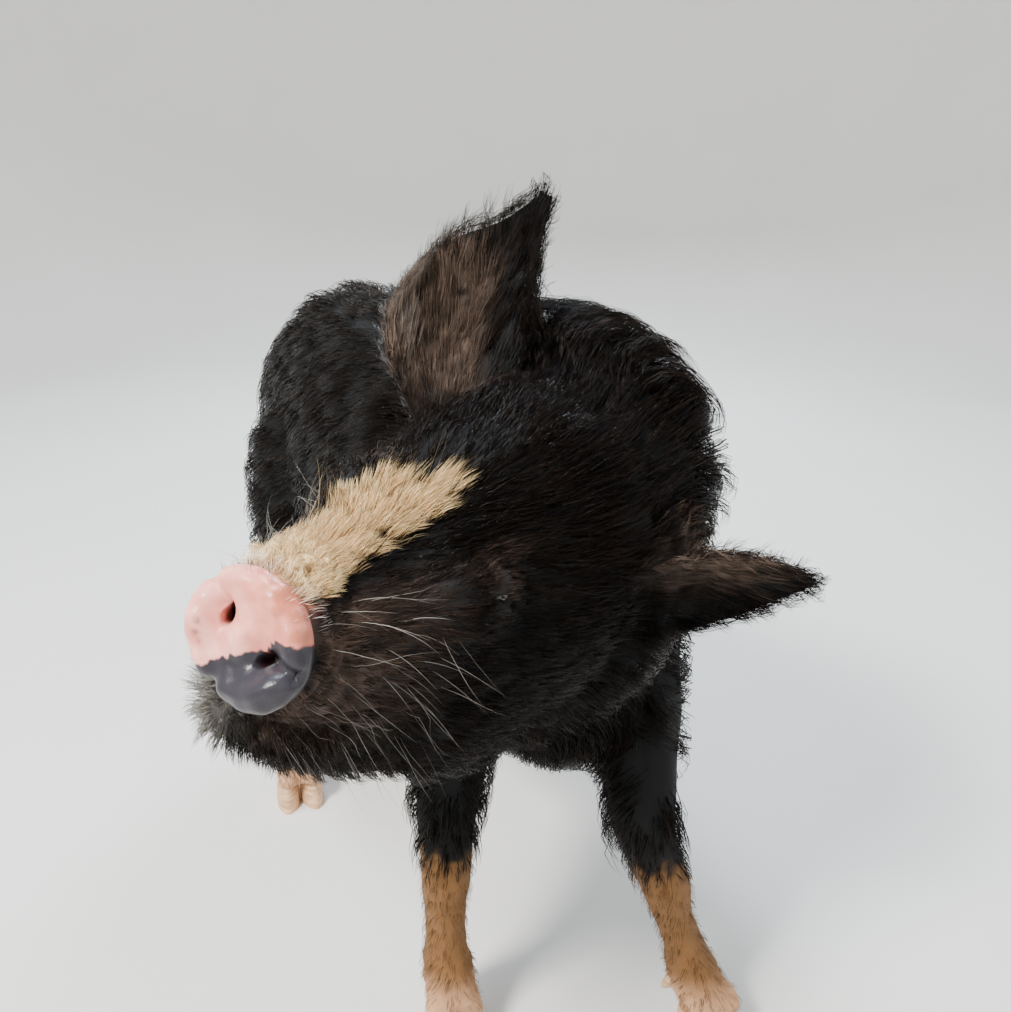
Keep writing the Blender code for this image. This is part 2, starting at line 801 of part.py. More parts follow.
# The long coat. Each kind: node, count, spacing, length, width, lift in degrees, how closely it
# hugs the skin from 0 to 1, where it grows, and the way it lies.
fanWay = -headForward * 0.9 + headUp * 0.25
flungWay = Vector((0.80, 0.45, 0.10))
lockKinds = [
    ("head", 10, 0.013, 0.058, 0.020, 24, 0.50, onBlaze, fanWay),
    ("head", 11, 0.022, 0.080, 0.034, 20, 0.70, onPoll, -headForward + headLeft * 0.45),
    ("head", 16, 0.027, 0.064, 0.030, 12, 0.90, onCheek, -headForward - headUp * 0.30),
    ("head", 13, 0.021, 0.052, 0.026, 26, 0.55, underJaw, -headForward * 0.7 - headUp * 0.6),
    ("neck", 15, 0.024, 0.120, 0.034, 22, 0.66, onCrest, flungWay),
    ("neck", 8, 0.036, 0.085, 0.038, 12, 0.90, onNeckSide, Vector((0.15, 0.75, -0.55))),
    ("torso", 12, 0.030, 0.125, 0.040, 18, 0.74, onWithers, Vector((0.55, 0.85, 0.0))),
    ("torso", 15, 0.050, 0.120, 0.048, 14, 0.88, onBack, Vector((0.15, 1.0, 0.0))),
    ("torso", 19, 0.066, 0.115, 0.048, 11, 0.90, onFlank, Vector((0.0, 0.90, -0.45))),
    ("torso", 12, 0.048, 0.080, 0.036, 18, 0.75, onBelly, Vector((0.0, 0.90, -0.30))),
    ("torso", 5, 0.050, 0.090, 0.042, 14, 0.88, onRump, Vector((0.0, 0.30, -1.0))),
    ("tail", 4, 0.008, 0.055, 0.013, 12, 0.30, onTailEnd, Vector((0.0, 0.10, -1.0))),
]
longLock = 0.085
lockThickness = 0.0042
lockSink = 0.0050
lockTries = 4


def scatter(piece, wanted, spacing, suits, draw):
    """Places and normals spread over the part of the piece's skin that suits, kept apart."""
    piece.data.calc_loop_triangles()
    corners = [[piece.data.vertices[index].co.copy() for index in triangle.vertices]
               for triangle in piece.data.loop_triangles]
    normals = [triangle.normal.copy() for triangle in piece.data.loop_triangles]
    areas = [triangle.area for triangle in piece.data.loop_triangles]
    found = []
    for index in draw.choices(range(len(corners)), weights=areas, k=wanted * 60 + 600):
        first, second, third = corners[index]
        u, v = sorted((draw.random(), draw.random()))
        place = first * u + second * (v - u) + third * (1 - v)
        if not suits(place, normals[index]):
            continue
        if all((place - other).length > spacing for other, _ in found):
            found.append((place, normals[index]))
        if len(found) == wanted:
            break
    return found


def lock(skin, root, normal, lie, length, width, lift, hug, curl):
    """One flat, bent lock that tapers to its tip, with its root sunk in the skin."""
    flow = (lie - lie.dot(normal) * normal).normalized()
    side = normal.cross(flow).normalized()
    rise = math.radians(lift)
    way = flow * math.cos(rise) + normal * math.sin(rise)
    place = root - way * lockSink / max(math.sin(rise), 0.35)
    steps = 5 if length > longLock else 4
    step = length / (steps - 1)
    rings = []
    for index in range(steps):
        t = index / (steps - 1)
        taper = max(min(0.62 + 1.3 * t, 1.0, 1.6 * (1 - t)), 0.06)
        flat = way.cross(side).normalized()
        half = width / 2 * taper
        thick = (lockThickness + width * 0.02) / 2 * max(1 - t, 0.15)
        rings.append((place, flat, way, half, thick, thick, 0.0))
        place = place + way * step
        near, outward = skin.find_nearest(place)[:2]
        height = (place - near).dot(outward)
        wanted = 0.0035 + 0.0050 * t + length * 0.5 * math.sin(rise) * t * (1 - hug)
        settled = near + outward * (wanted + max(height - wanted, 0.0) * (1 - hug))
        way = (settled - rings[-1][0]).normalized() + side * curl
        way.normalize()
        side = outward.cross(way).normalized() if hug > 0.5 else side
        place = rings[-1][0] + way * step
    return loft("lock", rings, 4)


def isClear(made, trees):
    """True where a lock keeps off every other node and off the floor."""
    wide = grown(made, 3 * gap)
    tree = treeOf(wide)
    lowest = min(vert.co.z for vert in wide.data.vertices)
    removeAll([wide])
    return lowest > 0.004 and not any(tree.overlap(other) for other in trees)


def growLocks(parts, skin):
    """Fuses the long coat to the nodes it grows from, clear of their neighbours."""
    draw = random.Random(seed)
    fleshTrees = {name: treeOf(part) for name, part in parts.items()}
    grownTrees = {name: [] for name in parts}
    waiting = {name: [] for name in parts}
    for node, wanted, spacing, length, width, lift, hug, suits, lie in lockKinds:
        for root, normal in scatter(parts[node], wanted, spacing, suits, draw):
            others = [tree for name, tree in fleshTrees.items() if name != node]
            others += [tree for name, trees in grownTrees.items() if name != node for tree in trees]
            sized = length * draw.uniform(0.85, 1.2)
            turned = lie + normal.cross(lie) * draw.uniform(-0.3, 0.3)
            curl = draw.uniform(-0.12, 0.12)
            for attempt in range(lockTries):
                shorter = sized * 0.86**attempt
                looser = hug * 0.75**attempt
                made = lock(skin, root, normal, turned, shorter, width, lift + 7 * attempt, looser, curl)
                if isClear(made, others):
                    waiting[node].append(made)
                    grownTrees[node].append(treeOf(made))
                    break
                removeAll([made])
    for name, locks in waiting.items():
        if locks:
            boolean(parts[name], locks, "UNION")
            keepLargest(parts[name])


def clearScene():
    for piece in list(bpy.data.objects):
        bpy.data.objects.remove(piece, do_unlink=True)


def addEyes(parts, tree):
    for side, sign in (("left", 1), ("right", -1)):
        middle, outward, skin = eyeMiddle(tree, sign)
        boolean(parts["head"], lids(tree, middle, outward, sign), "UNION")
        eye = ball("eye_" + side, middle, (eyeRadius,) * 3, None, 2)
        socket = ball("socket", middle, (eyeRadius + gap * 1.5,) * 3, None, 2)
        boolean(parts["head"], [socket, eyeOpening(middle, outward, sign)], "DIFFERENCE")
        parts[eye.name] = eye


def addEars(parts):
    for side, (base, tip, facing, bow) in ears.items():
        name = "ear_" + side
        made = ear(name, base, tip, facing, bow, side == "right")
        for other in ("head", "neck", "torso"):
            boolean(made, [grown(parts[other], gap * 1.5)], "DIFFERENCE")
        parts[name] = keepLargest(made)


def addTail(parts):
    tail = limbLoft("tail", tailRows, Vector((1, 0.15, 0)), 10)
    boolean(tail, [grown(parts["torso"], gap * 1.5)], "DIFFERENCE")
    parts["tail"] = keepLargest(tail)


def addHooves(parts):
    for foot in feet:
        leg = parts["leg_" + foot]
        for side, sign in (("left", 1), ("right", -1)):
            toe = hoof(f"hoof_{foot}_{side}", foot, sign)
            claw = dewClaw(f"dewclaw_{foot}_{side}", foot, sign)
            for made in (toe, claw):
                keepLargest(made)
                boolean(leg, [grown(made, gap * 1.5)], "DIFFERENCE")
                parts[made.name] = made
        keepLargest(leg)


def finish(parts):
    """Gives each node its material and moves the model to the middle of its box, on the floor."""
    corners = np.array([vert.co for part in parts.values() for vert in part.data.vertices])
    low = corners.min(axis=0)
    high = corners.max(axis=0)
    shift = Vector((-(low[0] + high[0]) / 2, -(low[1] + high[1]) / 2, 0))
    for name, part in parts.items():
        part.data.transform(Matrix.Translation(shift))
        part.data.materials.clear()
        kind = next(key for key in colours if name.startswith(key))
        part.data.materials.append(material(name, *colours[kind]))
        part.data.shade_smooth()
        part.data.set_sharp_from_angle(angle=math.radians(35))


def main():
    clearScene()
    body = coarsened(bodyShape(bodyVoxel, bodySmoothing), bodyTriangles)
    keepLargest(body)
    tree = treeOf(body)
    boolean(body, [mouthLine(tree), *nostrils()], "DIFFERENCE")
    parts = dividedBody(body)
    addEyes(parts, tree)
    addEars(parts)
    addTail(parts)
    addHooves(parts)
    growLocks(parts, tree)
    finish(parts)


main()
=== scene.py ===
import math

import bmesh
import bpy
import numpy as np
from mathutils import Matrix, Vector
from mathutils.bvhtree import BVHTree
from mathutils.geometry import barycentric_transform


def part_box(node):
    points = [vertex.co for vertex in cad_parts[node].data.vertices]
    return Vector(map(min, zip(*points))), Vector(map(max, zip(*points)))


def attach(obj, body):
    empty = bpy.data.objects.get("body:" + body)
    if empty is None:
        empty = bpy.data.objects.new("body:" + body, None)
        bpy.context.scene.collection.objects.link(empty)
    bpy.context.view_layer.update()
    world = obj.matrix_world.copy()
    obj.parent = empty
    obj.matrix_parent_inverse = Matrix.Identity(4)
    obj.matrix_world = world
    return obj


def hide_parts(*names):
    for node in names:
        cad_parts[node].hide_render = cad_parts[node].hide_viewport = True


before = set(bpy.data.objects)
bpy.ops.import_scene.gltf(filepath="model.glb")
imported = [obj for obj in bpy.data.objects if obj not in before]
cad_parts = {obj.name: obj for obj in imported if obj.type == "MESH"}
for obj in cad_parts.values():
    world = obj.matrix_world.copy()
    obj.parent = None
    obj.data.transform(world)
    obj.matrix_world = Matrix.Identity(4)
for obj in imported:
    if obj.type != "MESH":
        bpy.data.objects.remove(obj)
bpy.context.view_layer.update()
rng = np.random.default_rng(12)

# The shapes are drawn in the camera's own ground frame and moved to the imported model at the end.
# The two hooves of the right forefoot say by how much.
drawnHoofMiddle = Vector((0.238124, 0.610054, 0.0))
hoofLow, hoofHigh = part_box("hoof_front_right_left")
otherLow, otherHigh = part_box("hoof_front_right_right")
hoofSpan = [(min(hoofLow[i], otherLow[i]) + max(hoofHigh[i], otherHigh[i])) / 2 for i in (0, 1)]
shift = Vector((hoofSpan[0] - drawnHoofMiddle.x, hoofSpan[1] - drawnHoofMiddle.y, 0.0))

# Trunk: x, y, height of the middle, half width, rise above it, drop below it.
trunkRows = [
    (0.345, 1.345, 0.400, 0.050, 0.060, 0.060),
    (0.347, 1.320, 0.398, 0.086, 0.118, 0.118),
    (0.350, 1.255, 0.382, 0.108, 0.166, 0.160),
    (0.352, 1.172, 0.374, 0.113, 0.186, 0.168),
    (0.351, 1.060, 0.370, 0.119, 0.194, 0.166),
    (0.350, 0.960, 0.368, 0.123, 0.195, 0.170),
    (0.355, 0.845, 0.372, 0.115, 0.192, 0.172),
    (0.361, 0.750, 0.380, 0.103, 0.186, 0.166),
    (0.350, 0.672, 0.385, 0.098, 0.170, 0.158),
    (0.334, 0.615, 0.390, 0.088, 0.140, 0.140),
    (0.320, 0.582, 0.395, 0.064, 0.090, 0.100),
]
neckRows = [
    (0.362, 0.760, 0.400, 0.092, 0.168, 0.150),
    (0.351, 0.700, 0.418, 0.098, 0.170, 0.160),
    (0.335, 0.640, 0.428, 0.101, 0.166, 0.162),
    (0.313, 0.597, 0.432, 0.102, 0.152, 0.152),
    (0.283, 0.568, 0.438, 0.095, 0.124, 0.130),
]

# Head: its own frame, forward, left and up from the middle of the nose disc.
noseMiddle = Vector((0.070, 0.471, 0.482))
headForward = Vector((-0.880, -0.467, 0.098)).normalized()
headUp = Vector((0.312, -0.409, 0.858))
headUp = (headUp - headUp.dot(headForward) * headForward).normalized()
headLeft = headUp.cross(headForward)
forwardRow, leftRow, upRow = np.array(headForward), np.array(headLeft), np.array(headUp)
disc = {"tilt": math.radians(18), "halfWidth": 0.0405, "halfHeight": 0.035}
# Distance behind the disc, height of the middle, half width, rise, drop, jowl.
headRows = [
    (0.010, -0.002, 0.038, 0.032, 0.036, 0.00),
    (0.030, -0.006, 0.040, 0.036, 0.070, 0.02),
    (0.055, -0.008, 0.048, 0.043, 0.108, 0.06),
    (0.090, -0.010, 0.063, 0.058, 0.136, 0.10),
    (0.130, -0.008, 0.079, 0.077, 0.152, 0.12),
    (0.170, -0.004, 0.092, 0.098, 0.156, 0.12),
    (0.210, 0.000, 0.098, 0.110, 0.154, 0.10),
    (0.250, 0.000, 0.097, 0.108, 0.132, 0.06),
    (0.290, -0.004, 0.086, 0.090, 0.115, 0.00),
]
# Rounded masses of the head: back, left, up, then the three half sizes.
headMasses = [
    (0.165, 0.050, -0.058, 0.080, 0.048, 0.062),
    (0.165, -0.050, -0.058, 0.080, 0.048, 0.062),
    (0.122, 0.042, 0.030, 0.040, 0.028, 0.026),
    (0.122, -0.042, 0.030, 0.040, 0.028, 0.026),
    (0.235, 0.000, 0.050, 0.060, 0.086, 0.062),
    (0.038, 0.000, -0.066, 0.033, 0.031, 0.024),
]
# Legs: x, y, z, half width across, half depth along.
legRows = {
    "front_right": [
        (0.300, 0.720, 0.400, 0.040, 0.070),
        (0.285, 0.690, 0.330, 0.042, 0.064),
        (0.262, 0.660, 0.270, 0.036, 0.048),
        (0.243, 0.634, 0.215, 0.027, 0.032),
        (0.237, 0.624, 0.158, 0.023, 0.026),
        (0.237, 0.627, 0.100, 0.019, 0.021),
        (0.238, 0.626, 0.062, 0.021, 0.024),
        (0.238, 0.616, 0.034, 0.022, 0.026),
    ],
    "front_left": [
        (0.425, 0.690, 0.400, 0.040, 0.070),
        (0.408, 0.640, 0.330, 0.042, 0.062),
        (0.388, 0.585, 0.270, 0.036, 0.048),
        (0.378, 0.553, 0.215, 0.027, 0.032),
        (0.394, 0.543, 0.158, 0.023, 0.026),
        (0.412, 0.540, 0.100, 0.019, 0.021),
        (0.424, 0.536, 0.062, 0.021, 0.024),
        (0.431, 0.526, 0.034, 0.022, 0.026),
    ],
    "hind_right": [
        (0.272, 1.170, 0.400, 0.050, 0.100),
        (0.254, 1.132, 0.330, 0.052, 0.096),
        (0.237, 1.098, 0.265, 0.042, 0.070),
        (0.217, 1.078, 0.210, 0.029, 0.044),
        (0.209, 1.067, 0.165, 0.023, 0.033),
        (0.202, 1.038, 0.110, 0.019, 0.023),
        (0.198, 1.012, 0.062, 0.021, 0.024),
        (0.197, 0.990, 0.034, 0.022, 0.026),
    ],
    "hind_left": [
        (0.395, 1.210, 0.400, 0.055, 0.100),
        (0.410, 1.210, 0.330, 0.056, 0.098),
        (0.420, 1.225, 0.265, 0.043, 0.070),
        (0.416, 1.262, 0.210, 0.029, 0.044),
        (0.412, 1.290, 0.165, 0.023, 0.033),
        (0.410, 1.280, 0.110, 0.019, 0.023),
        (0.409, 1.268, 0.062, 0.021, 0.024),
        (0.409, 1.252, 0.034, 0.022, 0.026),
    ],
}
tailRows = [
    (0.325, 1.325, 0.455, 0.017, 0.017),
    (0.326, 1.352, 0.440, 0.013, 0.013),
    (0.330, 1.366, 0.405, 0.010, 0.010),
    (0.334, 1.366, 0.360, 0.008, 0.008),
    (0.337, 1.360, 0.315, 0.006, 0.006),
]
# Each foot: its middle on the floor, and the way the toes point, in degrees.
feet = {
    "front_right": ((0.238, 0.612), -100),
    "front_left": ((0.433, 0.520), -84),
    "hind_right": ((0.197, 0.985), -97),
    "hind_left": ((0.409, 1.246), -90),
}
# Ears: middle of the base, tip, the way the cup faces, how far the middle bows, how much of the near
# half is rolled in at the base, and the half widths of the near and far half along the length.
ears = {
    "right": {
        "base": Vector((0.262, 0.600, 0.515)),
        "tip": Vector((0.335, 0.650, 0.685)),
        "facing": Vector((-0.42, -0.90, 0.12)),
        "bow": Vector((-0.028, 0.013, 0.0)),
        "fold": 0.40,
        "near": ((0.0, 0.2, 0.45, 0.7, 0.85, 0.95, 1.0), (0.20, 0.255, 0.275, 0.190, 0.100, 0.05, 0.02)),
        "far": ((0.0, 0.2, 0.45, 0.6, 0.7, 0.8, 0.84, 0.89, 0.95, 1.0),
                (0.20, 0.255, 0.30, 0.277, 0.25, 0.195, 0.14, 0.075, 0.045, 0.02)),
    },
    "left": {
        "base": Vector((0.308, 0.503, 0.448)),
        "tip": Vector((0.440, 0.462, 0.446)),
        "facing": Vector((-0.30, -0.85, -0.42)),
        "bow": Vector((0.0, 0.0, -0.007)),
        "fold": 0.0,
        "near": ((0.0, 0.2, 0.45, 0.7, 0.85, 0.95, 1.0), (0.20, 0.255, 0.285, 0.215, 0.125, 0.06, 0.02)),
        "far": ((0.0, 0.2, 0.45, 0.7, 0.85, 0.95, 1.0), (0.20, 0.255, 0.285, 0.215, 0.125, 0.06, 0.02)),
    },
}
eye = {"back": 0.120, "side": 0.062, "up": 0.046, "radius": 0.0115}
# The slit between the lids: how fast it arches, how far it lies under its middle.
slit = {"arch": 22.0, "drop": 0.0022}
nostril = {"side": 0.0165, "high": 0.001}
sides = (("left", 1), ("right", -1))


# Small tools

def linear(code):  # an sRGB hex value as linear numbers
    parts = [int(code[i:i + 2], 16) / 255 for i in (1, 3, 5)]
    return [c / 12.92 if c <= 0.04045 else ((c + 0.055) / 1.055) ** 2.4 for c in parts]


def colour(code):
    return (*linear(code), 1.0)


def ramp(value, low, high):  # a smooth step from 0 at low to 1 at high, also for low above high
    t = np.clip((value - low) / (high - low), 0.0, 1.0)
    return t * t * (3 - 2 * t)


def wobble(points, size, key):  # smooth noise from -1 to 1, with lumps about this size in metres
    draw = np.random.default_rng(key)
    total = np.zeros(len(points))
    for _ in range(6):
        way = draw.normal(size=3)
        way *= draw.uniform(0.7, 1.6) * 2 * math.pi / size / np.linalg.norm(way)
        bend = np.sin(points @ draw.normal(size=3) * 1.3 / size + draw.uniform(0, 6)) * 0.8
        total += np.sin(points @ way + draw.uniform(0, 6) + bend)
    return total / 3.4


def headPoint(back, left, up):
    return noseMiddle - back * headForward + left * headLeft + up * headUp


def inHead(points):  # back, left and up of places given as rows
    offset = points - np.array(noseMiddle)
    return offset @ -forwardRow, offset @ leftRow, offset @ upRow


def smoothRows(rows, steps):  # rows read from a smooth curve through the given ones
    table = np.array(rows, float)
    padded = np.vstack([2 * table[0] - table[1], table, 2 * table[-1] - table[-2]])
    found = []
    for index in range(len(table) - 1):
        a, b, c, d = padded[index:index + 4]
        for step in range(steps):
            t = step / steps
            cubic = 2 * b + (c - a) * t + (2 * a - 5 * b + 4 * c - d) * t**2
            found.append((cubic + (3 * b - a - 3 * c + d) * t**3) / 2)
    found.append(table[-1])
    return np.array(found).tolist()


def newObject(name, data):
    made = bpy.data.objects.new(name, data)
    bpy.context.scene.collection.objects.link(made)
    return made


def meshObject(name, bm):
    mesh = bpy.data.meshes.new(name)
    bm.to_mesh(mesh)
    bm.free()
    return newObject(name, mesh)


def bridged(name, loops, bm):
    for first, second in zip(loops, loops[1:]):
        bmesh.ops.bridge_loops(bm, edges=first + second)
    bmesh.ops.recalc_face_normals(bm, faces=bm.faces)
    return meshObject(name, bm)


# A ring is a middle, an up way, a forward way, half width, rise, drop and jowl.
def loft(name, rings, segments):
    bm = bmesh.new()
    loops = []
    for index, (middle, up, forward, halfWidth, rise, drop, jowl) in enumerate(rings):
        side = up.cross(forward).normalized()
        upright = forward.cross(side).normalized()
        atEnd = index in (0, len(rings) - 1)
        made = bmesh.ops.create_circle(bm, cap_ends=atEnd, segments=segments, radius=1.0)
        for vert in made["verts"]:
            across, high = vert.co.x, vert.co.y
            tall = rise if high > 0 else drop
            vert.co = middle + side * across * halfWidth * (1 - jowl * high) + upright * high * tall
        loops.append(list({edge for vert in made["verts"] for edge in vert.link_edges}))
    return bridged(name, loops, bm)


def waysAlong(middles):
    last = len(middles) - 1
    return [(middles[min(i + 1, last)] - middles[max(i - 1, 0)]).normalized() for i in range(last + 1)]


def trunkLoft(name, rows, endUp):
    table = smoothRows(rows, 4)
    middles = [Vector(row[:3]) for row in table]
    rings = []
    for index, (row, way) in enumerate(zip(table, waysAlong(middles))):
        up = Vector((0, 0, 1)).lerp(endUp, index / (len(table) - 1))
        rings.append((middles[index], up, way, row[3], row[4], row[5], 0.0))
    return loft(name, rings, 48)


def limbLoft(name, rows, segments):
    table = smoothRows(rows, 4)
    middles = [Vector(row[:3]) for row in table]
    rings = []
    for middle, way, row in zip(middles, waysAlong(middles), table):
        rings.append((middle, way.cross(Vector((1, 0.15, 0))).normalized(), way, row[3], row[4], row[4], 0.0))
    return loft(name, rings, segments)


def ball(name, middle, sizes, turn=None, fineness=4):
    bm = bmesh.new()
    place = Matrix.Translation(middle) @ (turn or Matrix.Identity(4)) @ Matrix.Diagonal((*sizes, 1))
    bmesh.ops.create_icosphere(bm, subdivisions=fineness, radius=1.0, matrix=place)
    return meshObject(name, bm)


def applyModifier(piece, kind, **values):
    modifier = piece.modifiers.new(kind.title(), kind)
    for key, value in values.items():
        setattr(modifier, key, value)
    bpy.context.view_layer.objects.active = piece
    bpy.ops.object.modifier_apply(modifier=modifier.name)


def joined(pieces, name):
    bpy.ops.object.select_all(action="DESELECT")
    for piece in pieces:
        piece.select_set(True)
    bpy.context.view_layer.objects.active = pieces[0]
    bpy.ops.object.join()
    whole = bpy.context.view_layer.objects.active
    whole.name = whole.data.name = name
    return whole


def unite(piece, others):
    for other in others:
        applyModifier(piece, "BOOLEAN", operation="UNION", object=other, solver="MANIFOLD")
        bpy.data.objects.remove(other, do_unlink=True)


def footFrame(foot):
    middle, heading = feet[foot]
    way = Vector((math.cos(math.radians(heading)), math.sin(math.radians(heading)), 0))
    return middle, way, Vector((-way.y, way.x, 0))


def places(mesh, kind="co"):  # the places of a mesh's points, or their normals, one to a row
    found = np.empty(len(mesh.vertices) * 3)
    mesh.vertices.foreach_get(kind, found)
    return found.reshape(-1, 3)


def setPlaces(mesh, points):
    mesh.vertices.foreach_set("co", points.astype(np.float32).ravel())
    mesh.update()


# The skin

# inset: how far the skin lies inside the tips of the coat. earThick: of an ear at its root.
skinForm = {
    "voxel": 0.0056, "smoothing": 10, "easing": 4, "inset": 0.0030,
    "earStations": 34, "earSegments": 40, "earThick": 0.0040,
}
discTurn = Matrix.Rotation(-disc["tilt"], 4, headLeft)
discForward, discUp = discTurn @ headForward, discTurn @ headUp
discProfile = [  # depth behind the face, and scale
    (0.030, 0.86), (0.018, 0.925), (0.0125, 0.985), (0.0085, 1.005),
    (0.0050, 0.995), (0.0024, 0.955), (0.0008, 0.89), (0.0, 0.80),
]


def noseDisc(segments):
    rings = []
    for back, scale in discProfile:
        tall = disc["halfHeight"] * scale
        middle = noseMiddle - back * discForward
        rings.append((middle, discUp, discForward, disc["halfWidth"] * scale, tall, tall, 0.0))
    return loft("nose", rings, segments)


def onDisc(points):  # depth behind the disc's face, height and side on it, and distance out, 1 at the rim
    offset = points - np.array(noseMiddle)
    deep, high = offset @ -np.array(discForward), offset @ np.array(discUp)
    side = offset @ leftRow
    return deep, high, side, np.hypot(side / disc["halfWidth"], high / disc["halfHeight"])


def roundNose(points):  # lays the skin of the nose on a finely drawn disc
    shape = noseDisc(96)
    tree = treeOf(shape)
    bpy.data.objects.remove(shape, do_unlink=True)
    deep, _, _, out = onDisc(points)
    share = ramp(deep, 0.022, 0.012) * ramp(out, 1.32, 1.16)
    for index in np.nonzero(share > 0)[0]:
        target = tree.find_nearest(Vector(points[index]))[0]
        points[index] += share[index] * (np.array(target) - points[index])


def headLoft():
    rings = []
    for back, height, halfWidth, rise, drop, jowl in smoothRows(headRows, 3):
        rings.append((headPoint(back, 0, height), headUp, headForward, halfWidth, rise, drop, jowl))
    return loft("head", rings, 48)


def fleshPieces():
    headTurn = Matrix((headForward, headLeft, headUp)).transposed().to_4x4()
    made = [
        trunkLoft("trunk", trunkRows, Vector((0, 0, 1))),
        trunkLoft("neckFlesh", neckRows, headUp),
        headLoft(),
        noseDisc(40),
    ]
    for back, left, up, *sizes in headMasses:
        made.append(ball("mass", headPoint(back, left, up), sizes, headTurn))
    for foot, rows in legRows.items():
        made.append(limbLoft("leg", rows, 24))
        (x, y), way, left = footFrame(foot)
        turn = Matrix.Rotation(math.radians(feet[foot][1]), 4, "Z")
        for sign in (1, -1):
            middle = Vector((x, y, 0.036)) + way * 0.004 + left * sign * 0.0135
            made.append(ball("toe", middle, (0.017, 0.0125, 0.014), turn))
    return made


def earFrame(size):  # length of an ear, and the ways along it, into its cup and to its near side
    axis = size["tip"] - size["base"]
    along = axis.normalized()
    front = (size["facing"] - size["facing"].dot(along) * along).normalized()
    return axis.length, along, front, along.cross(front).normalized()


def earShape(name, size):  # crescents that open where the cup faces
    length, along, front, side = earFrame(size)
    bm = bmesh.new()
    loops = []
    stations = skinForm["earStations"]
    for index in range(stations):
        t = index / (stations - 1)
        nearWidth = length * float(np.interp(t, *size["near"]))
        farWidth = length * float(np.interp(t, *size["far"]))
        cup = nearWidth * (0.55 - 0.30 * t)
        thick = skinForm["earThick"] * (1 - 0.62 * t)
        middle = size["base"] + along * length * t + size["bow"] * math.sin(math.pi * t)
        middle -= front * length * 0.10 * math.sin(math.pi * t)
        atEnd = index in (0, stations - 1)
        made = bmesh.ops.create_circle(bm, cap_ends=atEnd, segments=skinForm["earSegments"], radius=1.0)
        for vert in made["verts"]:
            across = vert.co.x * (1 - size["fold"] * (1 - t)) if vert.co.x > 0 else vert.co.x
            depth = cup * (across**2 - 0.4) + vert.co.y * thick * (1 - 0.45 * abs(across))
            vert.co = middle + side * across * (nearWidth if across > 0 else farWidth) + front * depth
        loops.append(list({edge for vert in made["verts"] for edge in vert.link_edges}))
    return bridged(name, loops, bm)


def fromNostril(high, side, sign):  # distance outwards from the middle of a nostril, and above it
    return (side - sign * nostril["side"]) * sign, high - nostril["high"]


def dentNostrils(points):  # draws each nostril in as a smooth slit
    deep, high, side, out = onDisc(points)
    near = ramp(deep, 0.015, 0.009) * ramp(out, 1.0, 0.9)
    for sign in (1, -1):
        aside, above = fromNostril(high, side, sign)
        along, across = above * 0.944 + aside * 0.33, aside * 0.944 - above * 0.33
        share = near * ramp(np.hypot(across, along / 2.0), 0.0040, 0.0014)
        points += share[:, None] * (leftRow * sign * 0.0028 - np.array(discForward) * 0.0125)


def subdivideWhere(mesh, wanted):  # halves the edges of the faces whose middle is wanted
    bm = bmesh.new()
    bm.from_mesh(mesh)
    middles = np.array([face.calc_center_median() for face in bm.faces])
    chosen = wanted(middles)
    edges = {edge for face, keep in zip(bm.faces, chosen) if keep for edge in face.edges}
    bmesh.ops.subdivide_edges(bm, edges=list(edges), cuts=1, use_grid_fill=True)
    bm.to_mesh(mesh)
    bm.free()


def nearFace(points):
    back, _, up = inHead(points)
    return (back < 0.165) & (up > -0.16)


def nearEyes(points, reach):
    back, left, up = inHead(points)
    offset = np.stack([back - eye["back"], abs(left) - eye["side"], up - eye["up"]])
    return np.sqrt((offset ** 2).sum(axis=0)) < reach


def nearDetail(noseReach, eyeReach):  # the nose and the eyes, as far as these distances
    def wanted(points):
        back, _, up = inHead(points)
        return ((back < noseReach) & (up > -0.045)) | nearEyes(points, eyeReach)

    return wanted


def eyeSpots(tree):  # middle of each eyeball, the way it looks, and the skin's place in front of it
    found = {}
    for side, sign in sides:
        outward = (headLeft * sign + headForward * 0.42 + headUp * 0.22).normalized()
        low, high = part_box("eye_" + side)
        middle = (low + high) / 2 - shift
        skinPlace = tree.ray_cast(middle + outward * 0.05, -outward)[0]
        found[side] = (middle, outward, skinPlace)
    return found


def mouthPath(tree):  # from one corner of the mouth, round the chin under the disc, to the other
    found = []
    for index in range(49):
        turn = math.pi * index / 48
        side = math.cos(turn)
        back = 0.085 * abs(side) ** 0.8 + 0.018
        up = -0.044 + 0.020 * side * side
        way = headPoint(back, side * 0.1, up) - headPoint(back, 0, up)
        way = (way + headForward * 0.1 * (1 - abs(side)) ** 0.6).normalized()
        place = tree.ray_cast(headPoint(back + 0.02, 0, up) + way * 0.2, -way)[0]
        if place is not None:
            found.append(place)
    line = np.array(found)
    run = np.append(0, np.cumsum(np.linalg.norm(np.diff(line, axis=0), axis=1)))
    even = np.arange(0, run[-1], 0.0006)
    return np.stack([np.interp(even, run, line[:, axis]) for axis in range(3)], axis=1)


def treeOf(piece):
    bm = bmesh.new()
    bm.from_mesh(piece.data)
    tree = BVHTree.FromBMesh(bm)
    bm.free()
    return tree


def bell(value, width):
    return np.exp(-((value / width) ** 2))


